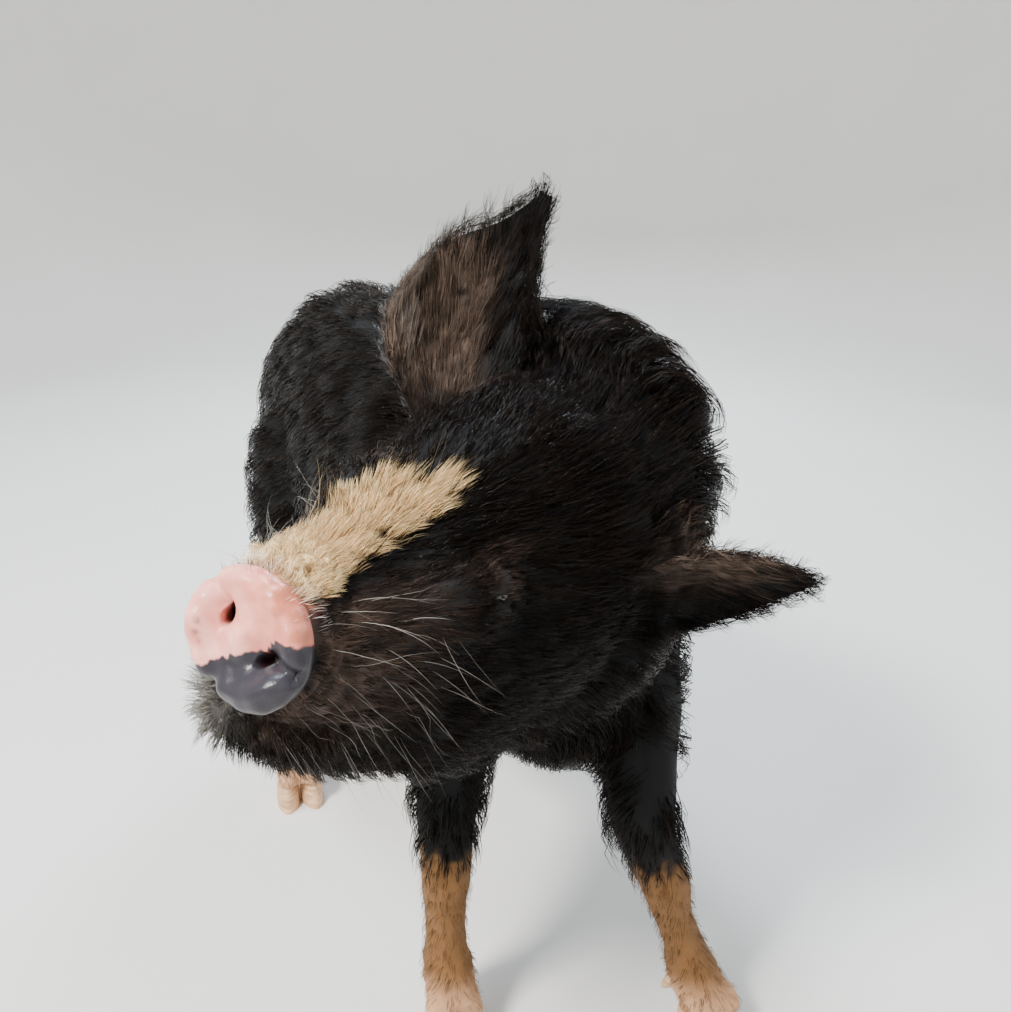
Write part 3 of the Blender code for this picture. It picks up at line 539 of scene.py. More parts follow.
def foldNose(points, push):
    deep, high, side, out = onDisc(points)
    face = ramp(deep, 0.012, 0.004) * ramp(out, 1.20, 1.05)
    # A thick soft rim round a shallow dish, and a ridge between the nostrils.
    push += face * (0.0016 * bell(out - 0.78, 0.15) - 0.0020 * bell(out - 0.30, 0.30))
    push += face * 0.0014 * bell(side, 0.0065) * ramp(high, -0.022, -0.005)
    for sign in (1, -1):
        aside, above = fromNostril(high, side, sign)
        near = np.hypot(aside, above * 0.8)
        push -= face * 0.0044 * bell(near, 0.0078)
        push += face * 0.0042 * bell(np.hypot(aside - 0.0095, (above + 0.0125) * 0.8), 0.0098)
        # A valley runs from each nostril out to the rim.
        along, across = aside * 0.96 + above * 0.28, above * 0.96 - aside * 0.28
        run = ramp(along, 0.001, 0.007) * ramp(along, 0.036, 0.024)
        push -= face * 0.0050 * bell(across - 0.002, 0.0042) * run
    # A notch in the middle of the lower rim.
    push -= ramp(deep, 0.016, 0.010) * 0.0048 * bell(side - 0.001, 0.0056) * ramp(high, -0.016, -0.032)
    push += face * 0.0005 * wobble(points, 0.013, 6)
    # Rings of wrinkled skin just behind the disc, deepest on top and at the sides.
    rings = np.sin((deep + 0.0012 * wobble(points, 0.03, 5)) * 2 * math.pi / 0.0072)
    push += 0.0012 * rings * ramp(deep, 0.015, 0.021) * ramp(deep, 0.052, 0.034) * ramp(high, -0.028, -0.005)
    push -= 0.0018 * bell(deep - 0.0165, 0.0025) * (high > -0.03)


def foldMouth(points, push, path):
    back = inHead(points)[0]
    near = np.full(len(points), 1.0)
    above = np.zeros(len(points))
    close = np.nonzero(back < 0.15)[0]
    for start in range(0, len(close), 4000):
        chosen = close[start:start + 4000]
        offset = points[chosen, None, :] - path[None, :, :]
        distance = np.linalg.norm(offset, axis=2)
        nearest = distance.argmin(axis=1)
        near[chosen] = distance[np.arange(len(chosen)), nearest]
        above[chosen] = offset[np.arange(len(chosen)), nearest] @ upRow
    fade = ramp(back, 0.102, 0.082)
    push -= 0.0030 * bell(near, 0.0021) * fade
    push += 0.0016 * bell(near - 0.0052, 0.0030) * np.where(above > 0, 1.0, 0.8) * fade


def onLids(points, spot, sign):  # distance from the lids' middle, and places along and across the slit
    _, outward, place = spot
    along = (-headForward - (-headForward).dot(outward) * outward).normalized()
    up = outward.cross(along) * sign
    if up.dot(headUp) < 0:
        up = -up
    offset = points - np.array(place)
    u = offset @ np.array(along)
    v = offset @ np.array(up) + slit["arch"] * u * u - slit["drop"]
    return np.linalg.norm(offset, axis=1), u, v


def foldEyes(points, push, spots):
    for side, sign in sides:
        distance, u, v = onLids(points, spots[side], sign)
        near = ramp(distance, 0.034, 0.020)
        length = ramp(abs(u), 0.0120, 0.0070)
        push += near * 0.0024 * bell(v - 0.0046, 0.0026) * ramp(abs(u), 0.018, 0.008)
        push += near * 0.0036 * bell(v + 0.0072, 0.0052) * ramp(abs(u), 0.017, 0.004)
        push -= near * 0.0056 * ramp(abs(v), 0.0021, 0.0009) * length
        # Squeezed folds run back from the outer corner and above and below the lids.
        push -= near * 0.0014 * bell(v - 0.0105, 0.0013) * ramp(abs(u), 0.018, 0.008)
        push -= near * 0.0016 * bell(v + 0.0125, 0.0016) * ramp(abs(u), 0.019, 0.008)
        outer = ramp(u, 0.010, 0.013) * ramp(u, 0.024, 0.018)
        inner = ramp(u, -0.010, -0.013) * ramp(u, -0.022, -0.017)
        for slope in (-0.5, 0.0, 0.5):
            push -= near * 0.0010 * bell(v - slope * (u - 0.010), 0.0009) * outer
            push -= near * 0.0008 * bell(v + slope * (u + 0.010), 0.0009) * inner


def coverEyes(points, spots):  # lays the lids over each eyeball, all but the slit between them
    for side, sign in sides:
        middle, outward = spots[side][:2]
        _, u, v = onLids(points, spots[side], sign)
        gap = ramp(abs(v), 0.0015, 0.0008) * ramp(abs(u), 0.0105, 0.0070)
        spoke = points - np.array(middle)
        far = np.linalg.norm(spoke, axis=1)
        front = ramp(spoke @ np.array(outward) / far, -0.40, -0.20) * ramp(far, 0.024, 0.020)
        thick = 0.0016 + 0.0012 * bell(abs(v) - 0.0030, 0.0016)
        lifted = np.maximum(far, eye["radius"] + thick)
        wanted = lifted * (1 - gap) + (eye["radius"] - 0.0022) * gap
        points += spoke / far[:, None] * ((wanted - far) * front)[:, None]


def foldBody(points, push):
    back = inHead(points)[0]
    # Creases between jowl and neck and round the pasterns, and uneven flesh.
    neck = ramp(back, 0.20, 0.25) * ramp(back, 0.36, 0.30) * ramp(points[:, 2], 0.24, 0.30)
    push += neck * 0.0022 * np.sin(back * 2 * math.pi / 0.026 + 1.4 * wobble(points, 0.12, 3))
    push += 0.0016 * wobble(points, 0.075, 8) * ramp(back, 0.20, 0.30)
    low = ramp(points[:, 2], 0.20, 0.15)
    push += low * 0.0007 * wobble(points * np.array((1, 1, 0.45)), 0.016, 9)
    pastern = ramp(points[:, 2], 0.085, 0.070) * ramp(points[:, 2], 0.040, 0.050)
    push += pastern * 0.0009 * np.sin(points[:, 2] * 2 * math.pi / 0.0085 + wobble(points, 0.03, 4))


def makeSkin():
    skin = joined(fleshPieces(), "skin")
    applyModifier(skin, "REMESH", mode="VOXEL", voxel_size=skinForm["voxel"], adaptivity=0.0)
    applyModifier(skin, "SMOOTH", factor=0.5, iterations=skinForm["smoothing"])
    tree = treeOf(skin)
    spots = eyeSpots(tree)
    path = mouthPath(tree)
    for wanted in (nearFace, nearDetail(0.030, 0.030), nearDetail(0.012, 0.016)):
        subdivideWhere(skin.data, wanted)
    applyModifier(skin, "SMOOTH", factor=0.5, iterations=skinForm["easing"])
    points = places(skin.data)
    roundNose(points)
    setPlaces(skin.data, points)
    normals = places(skin.data, "normal")
    push = np.zeros(len(points))
    foldNose(points, push)
    foldMouth(points, push, path)
    foldEyes(points, push, spots)
    foldBody(points, push)
    back = inHead(points)[0]
    push -= skinForm["inset"] * ramp(back, 0.05, 0.16) * ramp(points[:, 2], 0.06, 0.12)
    setPlaces(skin.data, points + normals * push[:, None])
    points = places(skin.data)
    dentNostrils(points)
    coverEyes(points, spots)
    setPlaces(skin.data, points)
    earPieces = [earShape("ear", size) for size in ears.values()]
    tail = limbLoft("tailFlesh", tailRows, 16)
    unite(skin, earPieces + [tail])
    softenRoots(skin)
    return skin, spots


def softenRoots(skin):  # eases the joint between head and ears
    bm = bmesh.new()
    bm.from_mesh(skin.data)
    for size in ears.values():
        root = size["base"].lerp(size["tip"], 0.18)
        span = earFrame(size)[0] * 0.30
        chosen = [vert for vert in bm.verts if (vert.co - root).length < span]
        for _ in range(4):
            bmesh.ops.smooth_vert(
                bm, verts=chosen, factor=0.4, use_axis_x=True, use_axis_y=True, use_axis_z=True)
    bm.to_mesh(skin.data)
    bm.free()


# Markings, shared by skin and coat

palette = {
    "black": linear("#050506"),
    "softBlack": linear("#100e0f"),
    "brown": linear("#4a3b32"),
    "earBrown": linear("#5e4e43"),
    "blond": linear("#f7dba6"),
    "ginger": linear("#c18d58"),
    "cream": linear("#f6f1e8"),
    "ash": linear("#97938b"),
    "pink": linear("#f0a89b"),
    "rose": linear("#d4725f"),
    "slate": linear("#302e34"),
    "tan": linear("#74522f"),
    "palePink": linear("#d6a680"),
    # painted shade for the depths of the nostrils, over their dark red lining
    "nostrilShade": linear("#2a1010"),
    "stain": linear("#a5623f"),
    "sclera": linear("#3b2a24"),
    "iris": linear("#2c1509"),
    "pupil": linear("#040303"),
}


def blend(base, name, share):
    return base * (1 - share[:, None]) + np.array(palette[name]) * share[:, None]


def tanShare(points):  # the lower legs, with a ragged edge, lower on the hind legs
    edge = 0.183 + 0.010 * wobble(points, 0.022, 21)
    hind = ramp(points[:, 1], 0.85, 0.95)
    edge = edge - hind * 0.010
    return ramp(points[:, 2], edge + 0.006, edge - 0.006)


def blazeShare(points):
    back, left, up = inHead(points)
    middle = np.interp(back, (0.0, 0.03, 0.08, 0.112), (-0.006, -0.013, -0.0195, -0.024))
    wide = np.interp(back, (0.0, 0.03, 0.08, 0.10, 0.112), (0.024, 0.021, 0.0145, 0.011, 0.0))
    uneven = 0.004 * wobble(points, 0.014, 22)
    broad = ramp(abs(left - middle) + uneven, wide + 0.003, wide - 0.003) * ramp(back, 0.116, 0.108)
    # A thinner streak runs on towards the poll.
    thin = ramp(abs(left + 0.006 + 0.1 * (back - 0.08)) + uneven, 0.0075, 0.0035) * ramp(back, 0.080, 0.090)
    streak = thin * ramp(back, 0.128, 0.120)
    return np.maximum(broad, streak) * ramp(up, 0.0, 0.012)


def slateShare(points):  # the grey part of the nose disc, at the lower left
    _, high, side, _ = onDisc(points)
    edge = np.interp(high, (-0.036, -0.028, -0.008, 0.004, 0.014, 0.020, 0.036),
                     (-0.016, -0.009, 0.003, 0.0135, 0.016, 0.027, 0.040))
    return ramp(side + 0.0012 * wobble(points, 0.006, 23), edge - 0.0007, edge + 0.0007)


def markings(points, outs, forCoat):
    back, left, up = inHead(points)
    inFace = ramp(up, -0.19, -0.17) * ramp(back, 0.27, 0.24)
    found = np.tile(np.array(palette["black"]), (len(points), 1))
    # Brown shows through on the muzzle and round the eyes.
    muzzle = ramp(back, 0.105, 0.045) * ramp(abs(left), 0.010, 0.026) * ramp(up, -0.075, -0.030) * inFace
    found = blend(found, "brown", 0.9 * muzzle * ramp(wobble(points, 0.020, 24), -1.2, 0.4))
    brow = np.hypot(back - 0.118, (up - 0.058) * 1.6)
    found = blend(found, "brown", 0.6 * bell(brow, 0.014) * (abs(left) > 0.03))
    blaze = blazeShare(points)
    streak = ramp(wobble(points, 0.011, 25), -0.2, 0.9)
    found = blend(found, "blond", blaze)
    found = blend(found, "ginger", blaze * 0.30 * streak)
    # Whitish fuzz behind the disc and on the chin.
    fuzz = ramp(back, 0.030, 0.015) * ramp(up, -0.006, 0.012) * ramp(left, 0.026, 0.010)
    found = blend(found, "cream", fuzz * (0.9 if forCoat else 0.2))
    chin = ramp(back, 0.034, 0.008) * ramp(up, -0.040, -0.052) * ramp(left, 0.020, -0.014)
    found = blend(found, "ash", chin * (0.85 if forCoat else 0.2))
    found = blend(found, "tan", tanShare(points) * ramp(points[:, 2], 0.26, 0.24))
    toes = ramp(points[:, 2], 0.075, 0.035)
    found = blend(found, "palePink", 0.75 * toes)
    # Brown inside the ears, black at the root and the tip, and black over the rolled near half of the cup,
    # partly its own colour and partly painted shade.
    for size in ears.values():
        t, sideways, inner, here = earPlace(points, outs, size)
        inside = here * ramp(inner, 0.0, 0.45) * ramp(t, 0.80, 0.62) * ramp(t, 0.02, 0.24)
        # The near half of the cup stays black: partly its own colour, partly painted shade.
        patchy = ramp(sideways, 0.42, -0.10) * ramp(wobble(points, 0.016, 27), -1.1, 0.5)
        found = blend(found, "earBrown", inside * patchy)
    return found


def paintSkin(skin, spots):
    mesh = skin.data
    points, normals = places(mesh), places(mesh, "normal")
    back, left, up = inHead(points)
    found = markings(points, normals, False)
    # Bare, damp skin of the nose disc: pink, with a slate-grey part, and painted shade across one side and in
    # the nostrils.
    deep, high, side, out = onDisc(points)
    bare = ramp(deep, 0.0150, 0.0125) * ramp(out, 1.22, 1.10)
    rosy = ramp(wobble(points, 0.020, 26), -0.2, 1.0)
    nose = blend(np.tile(np.array(palette["pink"]), (len(points), 1)), "rose", 0.45 * rosy)
    inner = np.hypot(abs(left) - nostril["side"], high - nostril["high"])
    # Rosier skin round each nostril: partly its own colour, partly painted shade in the hollow there.
    nose = blend(nose, "rose", 0.7 * bell(inner, 0.0075))
    # Painted shade: the disc grows rosier towards the side turned away from the key lamp.
    nose = blend(nose, "rose", 0.60 * ramp(side * 0.576 + high * 0.82, -0.008, 0.020))
    stained = ramp(high + 0.4 * side, 0.020, 0.034) * ramp(wobble(points, 0.012, 28), -0.9, 0.4)
    nose = blend(nose, "stain", 0.60 * stained)
    nose = blend(nose, "slate", slateShare(points))
    freckles = ((-0.021, -0.016, 0.0022), (-0.024, -0.011, 0.0015), (-0.017, -0.019, 0.0012))
    for spotSide, spotHigh, size in freckles:
        spot = bell(np.hypot(left - spotSide, high - spotHigh) + 0.0006 * wobble(points, 0.003, 29), size)
        nose = blend(nose, "slate", 0.6 * spot)
    # Painted shade deep in each nostril, over its dark red lining.
    nose = blend(nose, "nostrilShade", 0.9 * ramp(inner, 0.0085, 0.0060) * ramp(deep, 0.0055, 0.0095))
    found = found * (1 - bare[:, None]) + nose * bare[:, None]
    # A pink patch just behind the disc, on top.
    spot = bell(np.hypot(back - 0.024, left - 0.006), 0.0075) * (up > 0.015)
    found = blend(found, "rose", 0.7 * spot)
    lids = np.zeros(len(points))
    for _, _, place in spots.values():
        lids += bell(np.linalg.norm(points - np.array(place), axis=1), 0.014)
    found = blend(found, "softBlack", np.clip(lids, 0, 1))
    writeColours(mesh, "markings", found)
    values = mesh.attributes.new("bareness", "FLOAT", "POINT")
    values.data.foreach_set("value", bare.astype(np.float32))


def writeColours(mesh, name, values):
    found = mesh.attributes.new(name, "FLOAT_COLOR", "POINT")
    full = np.ones((len(values), 4), np.float32)
    full[:, :3] = values
    found.data.foreach_set("color", full.ravel())


# The coat: thin three-sided strands in locks that follow the lie of the hair

# The crest lies in a swirl, round a middle, as seen from in front of the pig and a little above.
viewWay = np.array((0.3971, 0.8517, -0.3420))
viewUp = np.array((0.1445, 0.3100, 0.9397))
swirlMiddle = np.array((0.398, 0.676, 0.526))


def unit(rows):
    return rows / np.maximum(np.linalg.norm(rows, axis=1, keepdims=True), 1e-9)


def flattened(ways, outs):
    return unit(ways - (ways * outs).sum(axis=1)[:, None] * outs)


def mixWay(first, second, share):
    return first * (1 - share[:, None]) + np.asarray(second) * share[:, None]


def lieAt(points, outs):  # the way the hair lies at each place, before it is laid on the skin
    back, left, up = inHead(points)
    x, y, z = points.T
    count = (len(points), 1)
    head = np.tile(-forwardRow, count) + leftRow * (left * 5.0)[:, None]
    head += upRow * (np.clip(up, -0.12, 0.03) * 5.0)[:, None]
    head += leftRow * (9.0 * (left + 0.012) * ramp(abs(left + 0.012), 0.045, 0.025) * (up > 0))[:, None]
    poll = ramp(back, 0.135, 0.215) * ramp(up, 0.005, 0.055)
    flung = np.array((0.80, 0.45, 0.10))
    swirl = np.cross(np.tile(viewWay, count), points - swirlMiddle)
    high = ramp((points - swirlMiddle) @ viewUp, -0.035, 0.020)
    crest = mixWay(np.tile(flung, count), unit(swirl) * 0.95, 0.75 * high)
    head = mixWay(head, crest, poll)
    middle = np.interp(y, (0.55, 0.75, 1.0, 1.3), (0.30, 0.356, 0.350, 0.347))
    across = (x - middle) / 0.11
    flank = np.stack([0.25 * across, np.full(len(x), 0.95), -0.10 - 0.55 * np.abs(across)], axis=1)
    neckSide = np.tile(np.array((0.15, 0.75, -0.60)), count)
    top = ramp(outs[:, 2], 0.30, 0.62)
    neck = mixWay(neckSide, crest, top)
    trunk = mixWay(neck, flank, ramp(y, 0.70, 0.84))
    rump = np.stack([0.1 * across, np.full(len(x), 0.25), np.full(len(x), -1.0)], axis=1)
    trunk = mixWay(trunk, rump, ramp(y, 1.24, 1.32))
    legs = np.tile(np.array((0.0, 0.18, -1.0)), count)
    trunk = mixWay(trunk, legs, ramp(z, 0.27, 0.215))
    found = mixWay(trunk, head, ramp(back, 0.32, 0.235) * ramp(up, -0.20, -0.16))
    for size in ears.values():
        t, sideways, _, here = earPlace(points, outs, size)
        axis = np.array((size["tip"] - size["base"]).normalized())
        out = np.array((size["tip"] - size["base"]).cross(size["facing"]).normalized())
        way = axis + out * (0.55 * sideways)[:, None]
        found = mixWay(found, way, here * ramp(t, 0.02, 0.15))
    tail = ramp(y, 1.335, 1.350) * ramp(abs(x - 0.33), 0.035, 0.025)
    return mixWay(found, np.array((0.0, 0.10, -1.0)), tail)


def earPlace(points, outs, size):  # along the ear, across it, facing into its cup, and belonging to it
    length, along, front, side = earFrame(size)
    offset = points - np.array(size["base"])
    t = offset @ np.array(along) / length
    bow = np.sin(math.pi * np.clip(t, 0, 1))
    offset = offset - np.array(size["bow"]) * bow[:, None]
    offset = offset + np.array(front) * (length * 0.10 * bow)[:, None]
    sideways = offset @ np.array(side)
    wide = length * np.where(sideways > 0, np.interp(t, *size["near"]), np.interp(t, *size["far"]))
    sideways = sideways / wide
    rolled = 1 - size["fold"] * (1 - np.clip(t, 0, 1))
    sideways = np.where(sideways > 0, sideways / rolled, sideways)
    deep = offset @ np.array(front)
    here = (t > 0.03) & (t < 1.05) & (abs(sideways) < 1.15) & (abs(deep) < 0.36 * wide + 0.012)
    return np.clip(t, 0, 1), np.clip(sideways, -1, 1), outs @ np.array(front), here.astype(float)


def hairless(points):  # 1 on the bare nose disc and round the slit of each eye
    deep, _, _, out = onDisc(points)
    bare = ramp(deep, 0.0150, 0.0130) * ramp(out, 1.25, 1.12)
    for place in lidPlaces:
        offset = points - np.array(place)
        bare = np.maximum(bare, ramp(np.linalg.norm(offset, axis=1), 0.0060, 0.0045))
    return bare


def zonesOf(points, outs):  # how far places belong to each zone of the coat, 0 to 1
    back, left, up = inHead(points)
    deep, high, side, out = onDisc(points)
    x, y, z = points.T
    blaze, tan, furred = blazeShare(points), tanShare(points), 1 - hairless(points)
    placed = {name: earPlace(points, outs, size) for name, size in ears.items()}
    ear = placed["right"][3] + placed["left"][3]
    underOut = outs @ upRow
    head = ramp(back, 0.30, 0.28) * (1 - ear) * ramp(up, -0.21, -0.19)
    face = head * (back < 0.195) * furred * (blaze <= 0.5)
    atTail = (y > 1.345) & (abs(x - 0.332) < 0.022)
    body = (1 - ear) * ((back > 0.272) | (up < -0.195)) * (1 - atTail)
    trunk = body * (y >= 0.765) * (z > 0.225)
    inFront = (back > 0.02) * (back < 0.10) * (abs(left) > 0.015)
    chin = (back > 0.004) * (back < 0.19) * (up < -0.055) * (underOut < -0.25)
    zones = {
        "blaze": (blaze > 0.5) * furred,
        "fuzz": (blaze > 0.2) * (back < 0.048) * furred,  # behind the nose disc, on top
        "brow": (back > 0.05) * (back < 0.16) * (up > 0.02) * (abs(left) < 0.06) * (underOut > 0.4),
        "muzzleLeft": face * (left >= -0.006) * (back < 0.112),
        "whiskers": inFront * (up > -0.085) * (up < 0.03) * furred,
        "rimTop": (deep > 0.0005) * (deep < 0.010) * (high > 0.014) * (side < 0.020) * (out > 0.8),
        "cheekLeft": face * (left >= -0.006) * (back >= 0.106),
        "faceRight": face * (left < 0),
        "poll": head * (back >= 0.17),
        "chin": chin * (1 - ear),
        "chinFuzz": (back > -0.004) * (back < 0.062) * (up < -0.046),
        "crest": body * (outs[:, 2] > 0.30) * (y < 0.80) * (z > 0.44),
        "neck": body * ((outs[:, 2] <= 0.34) | (z <= 0.45)) * (y < 0.78) * (z > 0.225),
        "back": trunk * (outs[:, 2] > 0.35),
        "flankRight": trunk * (outs[:, 2] <= 0.35) * (x < 0.35),
        "flankLeft": trunk * (outs[:, 2] <= 0.35) * (x >= 0.35),
        "legs": (z <= 0.24) * (1 - tan) * (z > 0.13),
        "shanks": (tan > 0.5) * (z > 0.036),
        "tail": atTail * (z < 0.48),
        "earBack": 0,
        "earCup": 0,
        "earRim": 0,
    }
    for _, sideways, inner, here in placed.values():
        zones["earBack"] = zones["earBack"] + here * (inner < 0.25)
        zones["earCup"] = zones["earCup"] + here * (inner >= 0.25)
        zones["earRim"] = zones["earRim"] + here * (abs(sideways) > 0.84)
    # The far edge of the right ear carries long upright hairs.
    t, sideways, _, here = placed["right"]
    zones["earFringe"] = here * (sideways < -0.72) * (t > 0.25) * (t < 0.90)
    return zones


def byBack(spots, sizes):  # a length that changes with the distance behind the nose disc
    return lambda points: np.interp(inHead(points)[0], spots, sizes)


triesPerCell = 3
cellSize = 1.22  # times the spacing: only one root stands in each cell
rootDepth = 0.0014  # how deep strands stand in the skin
strayShare = 0.05  # of the strands leave their lock
patch = 0.003  # side of a tuft's patch on the unwrap

# spacing: between roots. strands: in one lock. thick: of a strand. spread: of a lock at its root.
# lift: of the first step, in degrees. hug: 1 keeps to the skin, 0 runs free.
# turn: how fast it follows the lie. depth: how high the middle of a lock stands.
# pinch: how far its strands draw together. stagger: how far along the lock its strands begin.
# swing: how unevenly locks lie. tone: brightness at the root and at the tip.
# shade: a colour mixed into single strands, up to the share mixing. rootShade: a colour of their roots.
# What most kinds share comes first.
usual = dict(rings=3, turn=0.35, droop=0.0, stagger=0.22, swing=0.15, tone=(0.9, 1.1))
coatKinds = {
    "coat_blaze": [
        dict(zone="blaze", spacing=0.0036,
             length=byBack((0, 0.03, 0.08, 0.13), (0.008, 0.013, 0.021, 0.034)), strands=22,
             thick=0.00031, spread=0.0084, lift=31, hug=0.35, turn=0.34, depth=0.0055,
             pinch=(-0.5, 0.45), stagger=0.5, swing=0.26, tone=(0.80, 1.16), rootShade="ginger"),
        dict(zone="fuzz", spacing=0.0038, length=0.011, strands=20, rings=2, thick=0.00026,
             spread=0.0085, lift=44, hug=0.0, turn=0.20, depth=0.006, pinch=(-0.6, 0.3), stagger=0.3,
             swing=0.45),
        dict(zone="brow", spacing=0.0100, length=0.050, strands=2, rings=6, thick=0.00026,
             spread=0.006, lift=50, hug=0.0, turn=0.12, droop=-0.03, depth=0.018, pinch=(-0.8, 0.4),
             tone=(0.10, 0.30), swing=0.30),
    ],
    "coat_muzzle": [
        dict(zone="muzzleLeft", spacing=0.0042,
             length=byBack((0, 0.03, 0.07, 0.12), (0.007, 0.013, 0.024, 0.034)), strands=5,
             thick=0.00042, spread=0.0062, lift=11, hug=0.88, turn=0.40, depth=0.0026,
             pinch=(-0.2, 0.45), stagger=0.5, swing=0.12),
        dict(zone="whiskers", spacing=0.0115, length=0.052, strands=1, rings=8, thick=0.00027,
             spread=0.0, lift=48, hug=0.0, turn=0.26, droop=0.16, depth=0.014, pinch=(0.0, 0.1),
             shade="ash", mixing=1.0, swing=0.40),
        dict(zone="rimTop", spacing=0.0040, length=0.008, strands=1, rings=2, thick=0.00026,
             spread=0.0, lift=40, hug=0.0, turn=0.30, depth=0.004, pinch=(0.0, 0.1), shade="brown",
             mixing=1.0, swing=0.50),
    ],
    "coat_cheek": [
        dict(zone="cheekLeft", spacing=0.0056,
             length=byBack((0.10, 0.14, 0.20), (0.032, 0.040, 0.048)), strands=12, thick=0.00044,
             spread=0.0100, lift=9, hug=0.90, turn=0.40, depth=0.0036, pinch=(-0.2, 0.5), stagger=0.5,
             swing=0.10),
    ],
    "coat_faceRight": [
        dict(zone="faceRight", spacing=0.0064,
             length=byBack((0, 0.03, 0.08, 0.14, 0.22), (0.007, 0.012, 0.024, 0.038, 0.046)), strands=5,
             thick=0.00070, spread=0.0095, lift=10, hug=0.88, turn=0.40, depth=0.0034, pinch=(-0.2, 0.5),
             stagger=0.5, swing=0.12),
    ],
    "coat_poll": [
        dict(zone="poll", spacing=0.0088, length=byBack((0.17, 0.22, 0.30), (0.046, 0.060, 0.074)),
             strands=10, thick=0.00054, spread=0.0150, lift=12, hug=0.80, depth=0.0060,
             pinch=(-0.1, 0.7), stagger=0.45, swing=0.10),
    ],
    "coat_chin": [
        dict(zone="chin", spacing=0.0078,
             length=byBack((0, 0.04, 0.08, 0.16), (0.014, 0.022, 0.032, 0.038)), strands=7,
             thick=0.00044, spread=0.0080, lift=24, hug=0.45, turn=0.25, droop=0.16, depth=0.007,
             pinch=(0.0, 0.9), stagger=0.35, swing=0.16),
        dict(zone="chinFuzz", spacing=0.0046, length=0.017, strands=8, thick=0.00032, spread=0.0060,
             lift=58, hug=0.0, turn=0.16, droop=0.10, depth=0.010, pinch=(-0.4, 0.5), stagger=0.2,
             swing=0.30),
    ],
    "coat_crest": [
        dict(zone="crest", spacing=0.0088, length=0.096, strands=13, rings=4, thick=0.00060,
             spread=0.0150, lift=22, hug=0.58, turn=0.42, depth=0.013, pinch=(-0.1, 0.8), stagger=0.35,
             swing=0.10),
    ],
    "coat_neck": [
        dict(zone="neck", spacing=0.0125, length=0.062, strands=8, thick=0.00085, spread=0.0180,
             lift=12, hug=0.85, droop=0.04, depth=0.0062, pinch=(0.0, 0.7), stagger=0.4, swing=0.12),
    ],
    "coat_back": [
        dict(zone="back", spacing=0.0142, length=0.074, strands=9, thick=0.00095, spread=0.0200,
             lift=11, hug=0.86, depth=0.0070, pinch=(0.0, 0.7), stagger=0.4, swing=0.10),
    ],
    "coat_flankRight": [
        dict(zone="flankRight", spacing=0.0158, length=0.068, strands=8, thick=0.00105,
             spread=0.0210, lift=11, hug=0.87, droop=0.03, depth=0.0065, pinch=(0.0, 0.7), stagger=0.4,
             swing=0.10),
    ],
    "coat_flankLeft": [
        dict(zone="flankLeft", spacing=0.0158, length=0.068, strands=8, thick=0.00105, spread=0.0210,
             lift=11, hug=0.87, droop=0.03, depth=0.0065, pinch=(0.0, 0.7), stagger=0.4, swing=0.10),
    ],
    "coat_legs": [
        dict(zone="legs", spacing=0.0085, length=0.026, strands=6, rings=2, thick=0.00065,
             spread=0.0100, lift=11, hug=0.87, droop=0.03, depth=0.0034, pinch=(-0.1, 0.7), stagger=0.4,
             swing=0.12),
        dict(zone="shanks", spacing=0.0070, length=0.014, strands=4, rings=2, thick=0.00036,
             spread=0.008, lift=11, hug=0.82, droop=0.03, depth=0.0020, pinch=(-0.2, 0.3),
             tone=(0.55, 1.0), shade="brown", mixing=0.7, swing=0.2),
        dict(zone="tail", spacing=0.0050, length=0.040, strands=6, thick=0.00075, spread=0.005,
             lift=12, hug=0.35, turn=0.40, droop=0.10, depth=0.0060, pinch=(0.0, 0.9)),
    ],
    "coat_ears": [
        dict(zone="earBack", spacing=0.0066, length=0.020,
             strands=7, rings=2, thick=0.00050, spread=0.0085, lift=10, hug=0.88, turn=0.40,
             depth=0.0024, pinch=(-0.2, 0.5), stagger=0.4),
        dict(zone="earCup", spacing=0.0066, length=0.036,
             strands=9, thick=0.00036, spread=0.0085, lift=14, hug=0.60, turn=0.30, depth=0.0042,
             pinch=(-0.3, 0.4), stagger=0.4),
        dict(zone="earRim", spacing=0.0044, length=0.020,
             strands=5, thick=0.00034, spread=0.0050, lift=12, hug=0.0, turn=0.10, depth=0.008,
             pinch=(-0.4, 0.3), swing=0.22),
        dict(zone="earFringe", spacing=0.0034, length=0.034, strands=6, thick=0.00030, spread=0.0060,
             lift=14, hug=0.0, turn=0.16, droop=-0.10, depth=0.008, pinch=(-0.4, 0.3), shade="ash",
             mixing=0.3, swing=0.20),
    ],
}


def surfaceOf(mesh):  # corners, normals and areas of the skin's triangles, and the zones they lie in
    mesh.calc_loop_triangles()
    corners = np.empty(len(mesh.loop_triangles) * 3, np.int32)
    mesh.loop_triangles.foreach_get("vertices", corners)
    corners = corners.reshape(-1, 3)
    spots, outs = places(mesh)[corners], places(mesh, "normal")[corners]
    areas = np.linalg.norm(np.cross(spots[:, 1] - spots[:, 0], spots[:, 2] - spots[:, 0]), axis=1) / 2
    return spots, outs, areas, zonesOf(spots.mean(axis=1), unit(outs.mean(axis=1)))


def scatter(surface, kind, draw):  # roots and normals over a zone, about a spacing apart
    spots, outs, areas, zones = surface
    weights = areas * np.clip(zones[kind["zone"]], 0, 1)
    wanted = int(triesPerCell * weights.sum() / kind["spacing"] ** 2)
    chosen = draw.choice(len(areas), wanted, p=weights / weights.sum())
    u, v = np.sort(draw.random((2, wanted)), axis=0)
    shares = np.stack([u, v - u, 1 - v], axis=1)[:, :, None]
    roots = (spots[chosen] * shares).sum(axis=1)
    cells = np.floor(roots / (kind["spacing"] * cellSize)).astype(np.int64)
    keep = np.sort(np.unique(cells, axis=0, return_index=True)[1])
    return roots[keep], unit((outs[chosen] * shares).sum(axis=1))[keep]


def nearest(tree, points):
    found = [tree.find_nearest(Vector(point))[:2] for point in points]
    return np.array([place for place, _ in found]), np.array([out for _, out in found])


